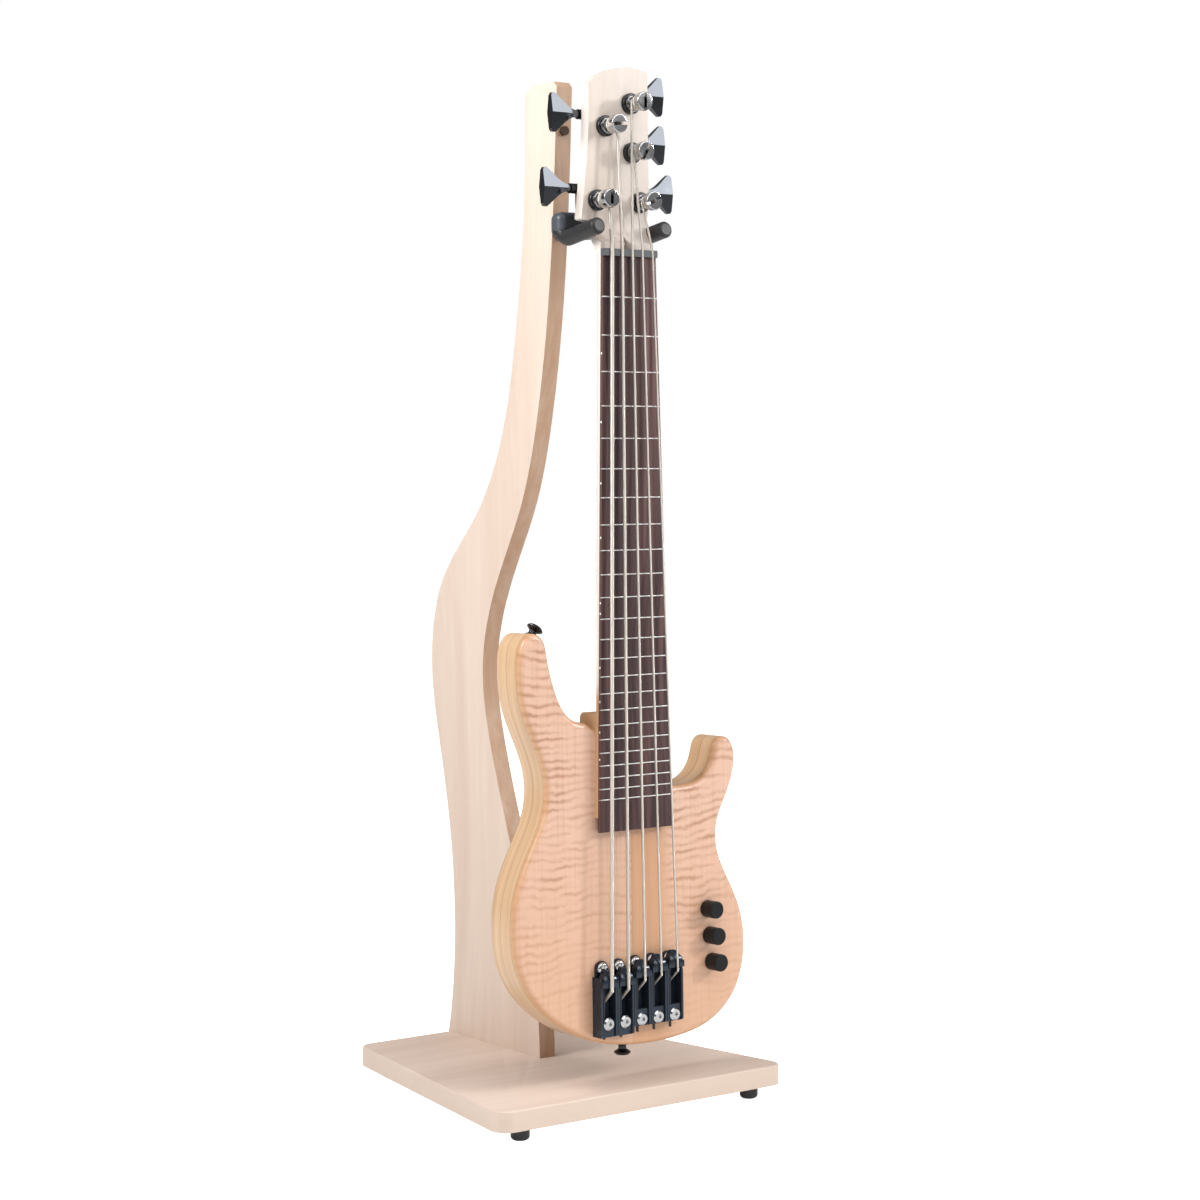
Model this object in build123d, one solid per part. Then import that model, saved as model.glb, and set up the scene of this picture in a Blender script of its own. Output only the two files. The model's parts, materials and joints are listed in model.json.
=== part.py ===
from build123d import *
import math
import os

os.makedirs("parts", exist_ok=True)

# Five-string short-scale bass hanging by its headstock on a wooden floor stand.
# All sizes are millimetres. World frame: +Z up, -Y to the player's side,
# origin on the floor under the middle of the whole object.
#
# The instrument is drawn in its own neck frame, with the nut's front edge at the
# origin, X across the neck, Y towards the back and Z along the neck to the
# headstock. Distances down the neck are written as "down" and are positive.

# ---------------------------------------------------------------- stand sizes
BASE_FRONT_WIDTH = 279.0
BASE_BACK_WIDTH = 192.5
BASE_FRONT_Y = -143.75
BASE_BACK_Y = 120.1
BASE_THICK = 15.9
BASE_CORNER_R = 13.0
FOOT_HEIGHT = 10.0
FOOT_R = 7.2
BASE_TOP = FOOT_HEIGHT + BASE_THICK
UPRIGHT_THICK = 15.0
UPRIGHT_TOP = 800.0

# ----------------------------------------------------------- instrument sizes
SCALE_LENGTH = 549.0
FRET_COUNT = 24
NUT_WIDTH = 50.4
NUT_LENGTH = 5.4
WIDTH_PER_DOWN = 0.0431
BOARD_LENGTH = 436.5
BOARD_THICK = 3.0
HEEL_END = 425.5
BODY_TOP_Y = 7.0
CAP_THICK = 6.0
BODY_BACK_Y = 41.0
HEAD_FACE_Y = 12.0
HEAD_BACK_Y = 21.0
HEEL_BACK_Y = 27.0
HEEL_START = 346.0

# The neck frame's place in the world: the bass hangs with its lower end forward.
NUT_Y = -118.65
NUT_Z = 659.4
LEAN = -1.2

# ------------------------------------------------------------------- strings
STRING_COUNT = 5
STRING_R = [1.6, 1.35, 1.1, 0.95, 0.85]
STRING_CENTRE_X = 1.0
NUT_PITCH = 9.75
BRIDGE_PITCH = 16.0
STRING_ABOVE_FRETS = 0.4
STRING_SADDLE_Y = -7.3
SADDLE_DOWN = [556.5, 556.5, 552.0, 549.5, 548.0]

# -------------------------------------------------------------------- tuners
# x and z of each post, from the lowest string to the highest.
POSTS = [(-21.8, 42.6), (-13.3, 99.0), (11.0, 117.5), (12.0, 80.3), (19.2, 42.8)]
SLOT_ANGLES = [88, 5, 88, 60, 25]
KEY_ABOVE_POST = 9.5
KEY_AXIS_Y = 25.5
POST_R = 3.4
RUNNING_GAP = 0.05
MOVING_GAP = 0.3

# --------------------------------------------------------------------- knobs
KNOBS = [(74.0, 505.5), (76.0, 526.5), (78.0, 547.5)]
KNOB_R = 6.8

nodes = {}


# ------------------------------------------------------------- shape helpers
def cyl_x(x0, x1, y, z, r):
    return Pos((x0 + x1) / 2, y, z) * Rot(0, 90, 0) * Cylinder(r, abs(x1 - x0))


def cyl_y(x, y0, y1, z, r):
    return Pos(x, (y0 + y1) / 2, z) * Rot(90, 0, 0) * Cylinder(r, abs(y1 - y0))


def cyl_z(x, y, z0, z1, r):
    return Pos(x, y, (z0 + z1) / 2) * Cylinder(r, abs(z1 - z0))


def block(x0, x1, y0, y1, z0, z1):
    middle = Pos((x0 + x1) / 2, (y0 + y1) / 2, (z0 + z1) / 2)
    return middle * Box(abs(x1 - x0), abs(y1 - y0), abs(z1 - z0))


def rod(start, end, r):
    """A round bar between two points."""
    axis = Vector(*end) - Vector(*start)
    return Solid.make_cylinder(r, axis.length, Plane(origin=start, z_dir=axis))


def slab(face, y_front, y_back):
    """A plate whose outline is drawn in X and Z, between two depths."""
    return extrude(Plane.XZ.offset(-y_back) * face, y_back - y_front)


def rounded_plate(x0, x1, y0, y1, z0, z1, r):
    """A flat plate facing Y, with rounded corners."""
    face = Pos((x0 + x1) / 2, (z0 + z1) / 2) * RectangleRounded(x1 - x0, z1 - z0, r)
    return slab(face, y0, y1)


def outline(*edges):
    return make_face(list(edges))


def board_half_width(down):
    return (NUT_WIDTH + WIDTH_PER_DOWN * down) / 2


def fret_down(number):
    return SCALE_LENGTH * (1 - 2 ** (-number / 12))


def string_x(index, pitch):
    return STRING_CENTRE_X + pitch * (index - (STRING_COUNT - 1) / 2)


def place(shape):
    """Moves a shape from the neck frame to where the bass hangs."""
    return Location((0, NUT_Y, NUT_Z), (LEAN, 0, 0)) * shape


def put(name, shape):
    """Keeps a node that belongs to the bass."""
    nodes[name] = place(shape)


# ---------------------------------------------------------------- floor stand
def base_outline():
    front = BASE_FRONT_WIDTH / 2
    back = BASE_BACK_WIDTH / 2
    corners = Polyline(
        (-front, BASE_FRONT_Y), (front, BASE_FRONT_Y), (back, BASE_BACK_Y), (-back, BASE_BACK_Y), close=True
    )
    face = make_face(corners)
    return fillet(face.vertices(), BASE_CORNER_R)


FOOT_SPOTS = [(-111, -130), (111, -130), (-76, 98), (76, 98)]
FOOT_ROUNDING = 3.0
UPRIGHT_SCREW_YS = [10, 55, 100]
SCREW_SHANK_R = 2.0


def foot(x, y):
    body = fillet((Cylinder(FOOT_R, FOOT_HEIGHT)).edges().sort_by(Axis.Z)[0], FOOT_ROUNDING)
    return Pos(x, y, FOOT_HEIGHT / 2) * body


def foot_screw(x, y):
    head = cyl_z(x, y, 2.5, 5.0, 3.0)
    return head + cyl_z(x, y, 5.0, FOOT_HEIGHT + 11, 1.7)


def upright_screw(y):
    """A countersunk screw from under the base, up into the upright."""
    head = Pos(0, y, FOOT_HEIGHT + 1.5) * Cone(4.0, SCREW_SHANK_R, 3.0)
    return head + cyl_z(0, y, FOOT_HEIGHT + 3.0, BASE_TOP + 34, SCREW_SHANK_R)


def upright_side():
    """The S-shaped side of the upright, drawn in Y and Z."""
    front = Spline(
        (-35.0, UPRIGHT_TOP - 4), (-30.5, 705), (-21.5, 611), (-9, 541), (14, 468), (51, 400),
        (68.5, 334), (57, 271), (24, 179), (-5, 82), (-11, BASE_TOP)
    )
    back = Spline(
        (120.1, BASE_TOP), (113, 68), (110.5, 118), (116, 190), (129, 255), (143.75, 333),
        (128, 403), (78, 459), (43, 517), (22, 599), (12, 671), (7.5, UPRIGHT_TOP - 9)
    )
    foot_line = Line((-11, BASE_TOP), (120.1, BASE_TOP))
    crown = Polyline((7.5, UPRIGHT_TOP - 9), (-1.5, UPRIGHT_TOP), (-31, UPRIGHT_TOP), (-35, UPRIGHT_TOP - 4))
    return make_face([front, foot_line, back, *crown.edges()])


YOKE_Z = 684.4
YOKE_BAR_Y = -74.0
YOKE_TIP_Y = -123.0
YOKE_ARM_X = 32.0
YOKE_ROD_R = 3.5
SLEEVE_R = 6.4
CROSSBAR = (38.5, -82.6, -66.6, 675.4, 694.4)
BOSS_R = 9.0
STEM_R = 5.0
PLUG_Z = 762.0


def yoke_arm_path(side, tip_y):
    """One arm: out of the crossbar's underside, round the elbow and up to its tip."""
    x = side * YOKE_ARM_X
    tip_z = 681.1 - 0.18 * (tip_y + 120.65)
    return FilletPolyline((x, -71.5, 682.2), (x, -82.05, 674.2), (x, tip_y, tip_z), radius=8)


def tube(path, r):
    start = path @ 0
    return sweep(Plane(origin=start, z_dir=path % 0) * Circle(r), path=path)


def build_stand():
    upright = extrude(Plane.YZ.offset(-UPRIGHT_THICK / 2) * upright_side(), UPRIGHT_THICK)
    base = extrude(Pos(0, 0, FOOT_HEIGHT) * base_outline(), BASE_THICK)
    base = chamfer(base.edges().filter_by(lambda e: e.center().Z > BASE_TOP - 0.1), 0.8)

    foot_screws = Compound(children=[foot_screw(x, y) for x, y in FOOT_SPOTS])
    upright_screws = Compound(children=[upright_screw(y) for y in UPRIGHT_SCREW_YS])
    feet = Compound(children=[
        foot(x, y) - foot_screw(x, y) - cyl_z(x, y, -1, 2.5, 3.0) for x, y in FOOT_SPOTS
    ])
    for x, y in FOOT_SPOTS:
        base -= foot_screw(x, y)
    for y in UPRIGHT_SCREW_YS:
        base -= upright_screw(y)
        upright -= upright_screw(y)

    rods = [tube(yoke_arm_path(side, YOKE_TIP_Y + 3), YOKE_ROD_R) for side in (-1, 1)]
    stem = cyl_y(0, YOKE_BAR_Y, -3.0, YOKE_Z, STEM_R)
    yoke = rods[0] + rods[1] + stem + cyl_x(-YOKE_ARM_X, YOKE_ARM_X, YOKE_BAR_Y, YOKE_Z, YOKE_ROD_R)
    x, y0, y1, z0, z1 = CROSSBAR
    hub = block(-x, x, y0, y1, z0, z1)
    hub = fillet(hub.edges(), 6.0) + cyl_y(0, y1 - 1, y1 + 12, YOKE_Z, BOSS_R)
    sleeves = []
    for side, rod_shape in zip((-1, 1), rods):
        sleeve = tube(yoke_arm_path(side, YOKE_TIP_Y), SLEEVE_R)
        sleeve = fillet(sleeve.edges().sort_by(Axis.Y)[0], 2.4)
        sleeves.append(sleeve - rod_shape - hub)
    collar = cyl_y(0, -39, -27, YOKE_Z, UPRIGHT_THICK / 2 - 0.1) - cyl_y(0, -40, -26, YOKE_Z, STEM_R)
    plug = cyl_y(0, -36.5, -22, PLUG_Z, 3.6)

    upright = upright - cyl_y(0, -60, -27, YOKE_Z, UPRIGHT_THICK / 2 - 0.1) - stem - plug

    nodes["base_board"] = base
    nodes["upright"] = upright
    nodes["rubber_feet"] = feet
    nodes["foot_screws"] = foot_screws
    nodes["upright_screws"] = upright_screws
    nodes["hanger_yoke"] = yoke
    nodes["yoke_mouldings"] = Compound(children=[hub - yoke, collar])
    nodes["yoke_sleeves"] = Compound(children=sleeves)
    nodes["upright_plug"] = plug


# ----------------------------------------------------------------- solid body
def body_outline():
    """The offset double-cutaway outline, in X and Z."""
    edge = Spline(
        (-41, -353), (-55, -348.5), (-70, -323), (-75.5, -301), (-80.5, -287), (-89, -283.5),
        (-97.5, -290), (-101.3, -308), (-98.5, -338), (-86, -370), (-78.5, -394), (-79.5, -417),
        (-94, -449), (-106, -477), (-110, -505), (-106, -535), (-91, -561), (-62, -585),
        (-25, -600), (12, -604.5), (50, -602.5), (82, -593), (103, -574), (113, -545),
        (110.5, -512), (99, -486), (87.5, -461), (87, -439), (99, -413), (105, -393),
        (103.5, -379), (96.5, -371.8), (88.5, -373.5), (84, -383), (79, -395), (69, -403.5),
        (56, -406.5), (42, -406.5)
    )
    return outline(edge, Line((42, -406.5), (-41, -353)))


def heel_face(extra, start, end):
    low = board_half_width(start) + extra
    high = board_half_width(end) + extra
    return make_face(Polyline((-low, -start), (low, -start), (high, -end), (-high, -end), close=True))


CAVITY = (54, 94, -560, -496)
BATTERY_BAY = (2, 30, -520, -469.5)
COVER_THICK = 2.0
COVER_LEDGE = 5.0
JACK_Z = -536.0
JACK_Y = 27.0
JACK_SEAT_X = 109.0


def cover_box(bay, y0, y1):
    x0, x1, z0, z1 = bay
    ledge = COVER_LEDGE
    return rounded_plate(x0 - ledge, x1 + ledge, y0, y1, z0 - ledge, z1 + ledge, 8)


def cover_screw_spots(bay):
    x0, x1, z0, z1 = bay
    half = COVER_LEDGE / 2
    middle_x = (x0 + x1) / 2
    middle_z = (z0 + z1) / 2
    return [
        (x0 - half, middle_z), (x1 + half, middle_z), (middle_x, z0 - half), (middle_x, z1 + half)
    ]


def cover_screw(x, z):
    head = Pos(x, BODY_BACK_Y - 0.6, z) * Rot(90, 0, 0) * Cone(2.1, 1.1, 1.2)
    return head + cyl_y(x, BODY_BACK_Y - 12, BODY_BACK_Y - 1.2, z, 1.1)


def strap_button():
    """A turned button on the XY plane, flaring out to its rim."""
    profile = Polyline(
        (0, 0), (4.9, 0), (4.9, 0.8), (3.1, 2.6), (3.1, 5.2), (6.5, 7.4), (6.6, 8.2), (5.2, 9.6), (0, 10.0),
        close=True
    )
    return revolve(Plane.XZ * make_face(profile), Axis.Z)


STRAP_SPOTS = [((-82.2, 22, -286.8), 38), ((2, 24, -604.0), 180)]


def build_body():
    shape = body_outline()
    cap = slab(shape, BODY_TOP_Y, BODY_TOP_Y + CAP_THICK)
    core = slab(shape, BODY_TOP_Y + CAP_THICK, BODY_BACK_Y)
    cap = fillet(cap.faces().sort_by(Axis.Y)[0].edges(), 4.5)
    core = fillet(core.faces().sort_by(Axis.Y)[-1].edges(), 4.0)

    pocket = slab(heel_face(0.0, 330, HEEL_END), BODY_TOP_Y - 1, HEEL_BACK_Y)
    cap -= pocket
    core -= pocket

    x0, x1, z0, z1 = CAVITY
    core -= rounded_plate(x0, x1, 15, BODY_BACK_Y + 1, z0, z1, 6)
    core -= cover_box(CAVITY, BODY_BACK_Y - COVER_THICK, BODY_BACK_Y + 1)
    x0, x1, z0, z1 = BATTERY_BAY
    core -= rounded_plate(x0, x1, 21, BODY_BACK_Y + 1, z0, z1, 3)
    core -= cover_box(BATTERY_BAY, BODY_BACK_Y - COVER_THICK, BODY_BACK_Y + 1)
    core -= cyl_x(28, 56, 32, -508, 3)

    screws = []
    for bay in (CAVITY, BATTERY_BAY):
        screws += [cover_screw(x, z) for x, z in cover_screw_spots(bay)]
    core -= screws
    put("cavity_cover", cover_box(CAVITY, BODY_BACK_Y - COVER_THICK, BODY_BACK_Y) - screws)
    put("battery_door", cover_box(BATTERY_BAY, BODY_BACK_Y - COVER_THICK, BODY_BACK_Y) - screws)
    put("cover_screws", Compound(children=screws))

    for x, down in KNOBS:
        bush = cyl_y(x, BODY_TOP_Y - 2, 16, -down, 3.5)
        cap -= bush
        core -= bush

    core -= cyl_x(JACK_SEAT_X, 120, JACK_Y, JACK_Z, 9.6)
    core -= cyl_x(90, JACK_SEAT_X + 1, JACK_Y, JACK_Z, 5.5)
    jack = cyl_x(JACK_SEAT_X, JACK_SEAT_X + 2, JACK_Y, JACK_Z, 9.5)
    jack += cyl_x(89, JACK_SEAT_X, JACK_Y, JACK_Z, 5.5)
    put("output_jack", jack - cyl_x(90.5, JACK_SEAT_X + 3, JACK_Y, JACK_Z, 3.2))

    buttons = []
    strap_screws = []
    for (x, y, z), turn in STRAP_SPOTS:
        where = Pos(x, y, z) * Rot(0, turn, 0)
        screw = where * (cyl_z(0, 0, -24, 6.5, 1.8) + cyl_z(0, 0, 6.5, 9.0, 2.8))
        seat = where * cyl_z(0, 0, 0, 20, 5.4)
        core = core - screw - seat
        cap -= seat
        buttons.append(where * strap_button() - screw - where * cyl_z(0, 0, 9, 12, 2.8))
        strap_screws.append(screw)
    put("strap_buttons", Compound(children=buttons))
    put("strap_screws", Compound(children=strap_screws))

    neck_screws = build_neck_plate()
    core -= neck_screws
    for x_bridge, head_down in bridge_screw_spots():
        hole = bridge_screw(x_bridge, head_down)
        cap -= hole
        core -= hole
    for index in range(STRING_COUNT):
        cap -= piezo_strip(index)
        cap -= string_tail(index)
    put("body_top", cap)
    put("body_back", core)


PLATE = (-24, 24, -422, -368)


def build_neck_plate():
    """The plate and four screws that hold the heel in its pocket."""
    x0, x1, z0, z1 = PLATE
    inset = 7
    spots = [(x, z) for x in (x0 + inset, x1 - inset) for z in (z0 + inset, z1 - inset)]
    plate = rounded_plate(x0, x1, BODY_BACK_Y, BODY_BACK_Y + 1.6, z0, z1, 5)
    screws = []
    for x, z in spots:
        head = cyl_y(x, BODY_BACK_Y + 1.6, BODY_BACK_Y + 3.4, z, 4.0)
        screws.append(head + cyl_y(x, 12, BODY_BACK_Y + 1.6, z, 2.2))
    put("neck_plate", plate - screws)
    put("neck_screws", Compound(children=screws))
    return screws


# ----------------------------------------------------------------------- neck
def neck_section(down, depth):
    """A D-shaped section across the neck, flat side to the fingerboard."""
    half = board_half_width(down)
    flat = BOARD_THICK
    face = make_face([
        *Polyline((-half, flat + 3), (-half, flat), (half, flat), (half, flat + 3)).edges(),
        ThreePointArc((half, flat + 3), (0, flat + depth), (-half, flat + 3)),
    ])
    return Pos(0, 0, -down) * face


def headstock_outline():
    """Asymmetric headstock with a bass-side shoulder and a crowned top."""
    half = NUT_WIDTH / 2
    edges = [
        Line((-half, HEAD_START - 1), (half, HEAD_START - 1)),
        Line((half, HEAD_START - 1), (half, 24)),
        Spline((half, 24), (27.8, 36), (28.5, 60), tangents=((0, 1), (0, 1))),
        Line((28.5, 60), (28.5, 141)),
        ThreePointArc((28.5, 141), (27.6, 142.6), (26, 143)),
        Spline((26, 143), (8, 145), (-11, 140.5), (-28.3, 130.5)),
        Spline((-28.3, 130.5), (-29.5, 85), (-33, 52), (-35.8, 30)),
        ThreePointArc((-35.8, 30), (-35.2, 27.9), (-33.5, 27.3)),
        Line((-33.5, 27.3), (-31, 27.1)),
        Spline((-31, 27.1), (-27, 24.5), (-half, 18.5), tangents=((1, -0.1), (0, -1))),
        Line((-half, 18.5), (-half, HEAD_START - 1)),
    ]
    return make_face(edges)


SCOOP_R = 18.0
SCOOP_Z = 26.0
HEAD_START = 18.0
NECK_DEPTH = 18.5
TRUSS_R = 3.0
TRUSS_Y = 11.0


def head_root():
    """The stretch from the round neck at the nut to the flat headstock."""
    half = NUT_WIDTH / 2
    square = make_face([
        *Polyline((-half, 18.5), (-half, BOARD_THICK), (half, BOARD_THICK), (half, 18.5)).edges(),
        ThreePointArc((half, 18.5), (0, HEAD_BACK_Y + 0.3), (-half, 18.5)),
    ])
    return loft([neck_section(0, NECK_DEPTH), Pos(0, 0, HEAD_START) * square], ruled=True)


def build_neck():
    shaft = loft([neck_section(0, NECK_DEPTH), neck_section(HEEL_START + 4, NECK_DEPTH + 2.5)], ruled=True)
    heel = slab(heel_face(0.0, HEEL_START, HEEL_END), BOARD_THICK, HEEL_BACK_Y)
    upper_edge = heel.edges().filter_by(lambda e: e.center().Z > -HEEL_START - 1).sort_by(Axis.Y)[-1]
    heel = fillet(upper_edge, 5)
    head = slab(headstock_outline(), BOARD_THICK, HEAD_BACK_Y)
    head -= block(-60, 60, BOARD_THICK - 5, HEAD_FACE_Y, SCOOP_Z, 160)
    head -= cyl_x(-60, 60, HEAD_FACE_Y - SCOOP_R, SCOOP_Z, SCOOP_R)
    root = head_root() - cyl_x(-60, 60, HEAD_FACE_Y - SCOOP_R, SCOOP_Z, SCOOP_R)
    neck = shaft + heel + root + head

    notch = make_face(Polyline((-3.6, NUT_LENGTH), (5.2, NUT_LENGTH), (0.8, 19), close=True))
    neck -= slab(notch, BOARD_THICK - 2, TRUSS_Y)
    truss = cyl_z(0, TRUSS_Y, -380, 14, TRUSS_R)
    neck -= truss
    put("truss_rod", truss)

    for x, z in POSTS:
        neck -= cyl_y(x, HEAD_FACE_Y - 2, HEAD_BACK_Y + 2, z, 5.0)
        neck -= tuner_screw(x, z)
    for screw in plate_screw_shanks():
        neck -= screw
    put("neck", neck)


def plate_screw_shanks():
    x0, x1, z0, z1 = PLATE
    return [cyl_y(x, 12, BODY_BACK_Y, z, 2.2) for x in (x0 + 7, x1 - 7) for z in (z0 + 7, z1 - 7)]


FRET_WIDTH = 1.2
FRET_HEIGHT = 0.8
TANG_WIDTH = 0.6
TANG_DEPTH = 1.8
DOT_FRETS = [3, 5, 7, 9, 12, 15, 17, 19, 21]
DOT_R = 0.9
NUT_SLOT_GAP = 0.15


def fret(number):
    down = fret_down(number)
    half = board_half_width(down) - 0.1
    crown = block(-half, half, -FRET_HEIGHT, 0, -down - FRET_WIDTH / 2, -down + FRET_WIDTH / 2)
    top_edges = crown.edges().filter_by(Axis.X).sort_by(Axis.Y)[:2]
    return fillet(top_edges, 0.4) + fret_tang(number)


def fret_tang(number):
    down = fret_down(number)
    half = board_half_width(down) - 0.05
    return block(-half, half, 0, TANG_DEPTH, -down - TANG_WIDTH / 2, -down + TANG_WIDTH / 2)


def side_dots():
    """White dots let into the bass-side edge of the fingerboard."""
    dots = []
    for number in DOT_FRETS:
        middle = (fret_down(number) + fret_down(number - 1)) / 2
        spots = [middle - 4, middle + 4] if number == 12 else [middle]
        for down in spots:
            edge = -board_half_width(down)
            dots.append(cyl_x(edge + 0.1, edge + 1.6, 1.5, -down, DOT_R))
    return dots


def string_nut_y(index):
    """Height of a string's middle in its nut slot, which keeps it off the first fret."""
    return -FRET_HEIGHT - STRING_ABOVE_FRETS - STRING_R[index]


def build_fingerboard():
    board = slab(heel_face(0.0, 0, BOARD_LENGTH), 0, BOARD_THICK)
    dots = side_dots()
    board -= dots
    # A short mouth opens each dot's hole to the board's edge.
    for dot in dots:
        centre = dot.center()
        board -= cyl_x(centre.X - 2.0, centre.X, centre.Y, centre.Z, DOT_R)
    board -= [fret_tang(number) for number in range(1, FRET_COUNT + 1)]
    put("fingerboard", board)
    put("side_dots", Compound(children=dots))
    put("frets", Compound(children=[fret(number) for number in range(1, FRET_COUNT + 1)]))

    half = NUT_WIDTH / 2
    nut = block(-half, half, -2.4, BOARD_THICK, 0, NUT_LENGTH)
    for index in range(STRING_COUNT):
        x = string_x(index, NUT_PITCH)
        y, r = string_nut_y(index), STRING_R[index] + NUT_SLOT_GAP
        nut = nut - cyl_z(x, y, -1, NUT_LENGTH + 1, r) - block(x - r, x + r, -6, y, -1, NUT_LENGTH + 1)
    put("nut", nut)


# -------------------------------------------------------------------- strings
WAIST_R = 3.6
WRAP_Y = 2.6
TAIL_DROP = 9.5
TAIL_FLOOR_Y = 3.4
BALL_Y = 7.4
BALL_LENGTH = 4.0


def string_turn_point(index):
    """Where a string meets its post's waist, a hair clear of the metal."""
    post_x, post_z = POSTS[index]
    nut_x = string_x(index, NUT_PITCH)
    reach = WAIST_R + STRING_R[index] + MOVING_GAP
    dx, dz = nut_x - post_x, NUT_LENGTH / 2 - post_z
    turn = math.acos(reach / math.hypot(dx, dz))
    turn = turn if post_x < 0 else -turn
    angle = math.atan2(dz, dx) + turn
    return post_x + reach * math.cos(angle), WRAP_Y, post_z + reach * math.sin(angle)


def string_tail(index):
    """The stretch of a string that drops through its bridge to the ball end."""
    x = string_x(index, BRIDGE_PITCH)
    z = -SADDLE_DOWN[index] - TAIL_DROP
    ball = cyl_y(x, BALL_Y, BALL_Y + BALL_LENGTH, z, STRING_R[index] + 1.2)
    return cyl_y(x, TAIL_FLOOR_Y, BALL_Y + 1, z, STRING_R[index]) + ball


def build_string(index):
    nut_point = (string_x(index, NUT_PITCH), string_nut_y(index), NUT_LENGTH + 0.3)
    bridge_x = string_x(index, BRIDGE_PITCH)
    tail_z = -SADDLE_DOWN[index] - TAIL_DROP
    path = Polyline(
        string_turn_point(index),
        nut_point,
        (bridge_x, STRING_SADDLE_Y, -SADDLE_DOWN[index]),
        (bridge_x, TAIL_FLOOR_Y, tail_z),
        (bridge_x, BALL_Y + 1, tail_z),
    )
    section = Plane(origin=path @ 0, z_dir=path % 0) * Circle(STRING_R[index])
    wire = sweep(section, path=path, transition=Transition.RIGHT)
    ball = cyl_y(bridge_x, BALL_Y, BALL_Y + BALL_LENGTH, tail_z, STRING_R[index] + 1.2)
    return wire + ball


# -------------------------------------------------------------------- bridges
BASE_HALF = 7.8
CHANNEL_HALF = 6.0
FLOOR_Y = 4.8
WALL_Y = -4.0
ANCHOR_Y = -2.4
HEAD_DOWN = [535.0, 535.0, 534.0, 534.0, 534.0]
TAIL_DOWN = [592.5, 592.5, 587.5, 587.5, 587.5]
ANCHOR_DOWN = 582.3
TAB_LENGTH = 12.0
TAB_HALF = 5.8
ANCHOR_LENGTH = 13.0
PITCH_SCREW_DX = -2.9
PITCH_SCREW_Y = -0.5
PITCH_SCREW_R = 1.1


def bridge_screw_spots():
    return [(string_x(i, BRIDGE_PITCH), HEAD_DOWN[i] + TAB_HALF) for i in range(STRING_COUNT)]


def bridge_screw(x, down):
    """A domed wood screw with a cross recess."""
    dome = fillet(cyl_y(x, 1.6, FLOOR_Y, -down, 5.0).edges().sort_by(Axis.Y)[0], 2.4)
    cross = block(x - 3.2, x + 3.2, 0, 2.8, -down - 0.6, -down + 0.6)
    cross += block(x - 0.6, x + 0.6, 0, 2.8, -down - 3.2, -down + 3.2)
    return dome - cross + cyl_y(x, FLOOR_Y, 20, -down, 1.9)


def anchor_screw(x):
    """A low round cap that clamps the rear of each bridge unit."""
    head = cyl_y(x, -4.6, ANCHOR_Y, -ANCHOR_DOWN, 5.0)
    head = chamfer(head.edges().sort_by(Axis.Y)[0], 1.2)
    recess = cyl_y(x, -5, -3.1, -ANCHOR_DOWN, 1.7)
    return head - recess + cyl_y(x, ANCHOR_Y, 3.0, -ANCHOR_DOWN, 1.5)


def pitch_screw(index):
    x = string_x(index, BRIDGE_PITCH) + PITCH_SCREW_DX
    tail = TAIL_DOWN[index]
    front = SADDLE_DOWN[index] - 12.0
    head_length = 4.5 if index > 1 else 1.5
    return cyl_z(x, PITCH_SCREW_Y, -tail - head_length, -front, PITCH_SCREW_R)


def piezo_strip(index):
    x = string_x(index, BRIDGE_PITCH)
    down = SADDLE_DOWN[index]
    return block(x - 3.5, x + 3.5, BODY_TOP_Y, BODY_TOP_Y + 0.9, -down - 4, -down + 3)


def bridge_base(index):
    x = string_x(index, BRIDGE_PITCH)
    head, tail = HEAD_DOWN[index], TAIL_DOWN[index]
    floor = block(x - BASE_HALF, x + BASE_HALF, FLOOR_Y, BODY_TOP_Y, -tail, -head - TAB_LENGTH)
    tab = cyl_y(x, FLOOR_Y, BODY_TOP_Y, -head - TAB_HALF, TAB_HALF)
    tab += block(x - TAB_HALF, x + TAB_HALF, FLOOR_Y, BODY_TOP_Y, -head - TAB_LENGTH, -head - TAB_HALF)
    walls = block(x - BASE_HALF, x + BASE_HALF, WALL_Y, FLOOR_Y, -tail, -head - TAB_LENGTH)
    walls -= block(x - CHANNEL_HALF, x + CHANNEL_HALF, WALL_Y - 1, FLOOR_Y, -tail - 1, 0)
    corners = walls.edges().filter_by(Axis.X).sort_by(Axis.Y)[:8]
    walls = fillet(corners, 2.0)
    anchor = block(x - CHANNEL_HALF, x + CHANNEL_HALF, ANCHOR_Y, FLOOR_Y, -tail, -tail + ANCHOR_LENGTH)
    base = floor + tab + walls + anchor
    base = base - anchor_screw(x) - bridge_screw(x, head + TAB_HALF) - string_tail(index)
    return base - pitch_screw(index)


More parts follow.
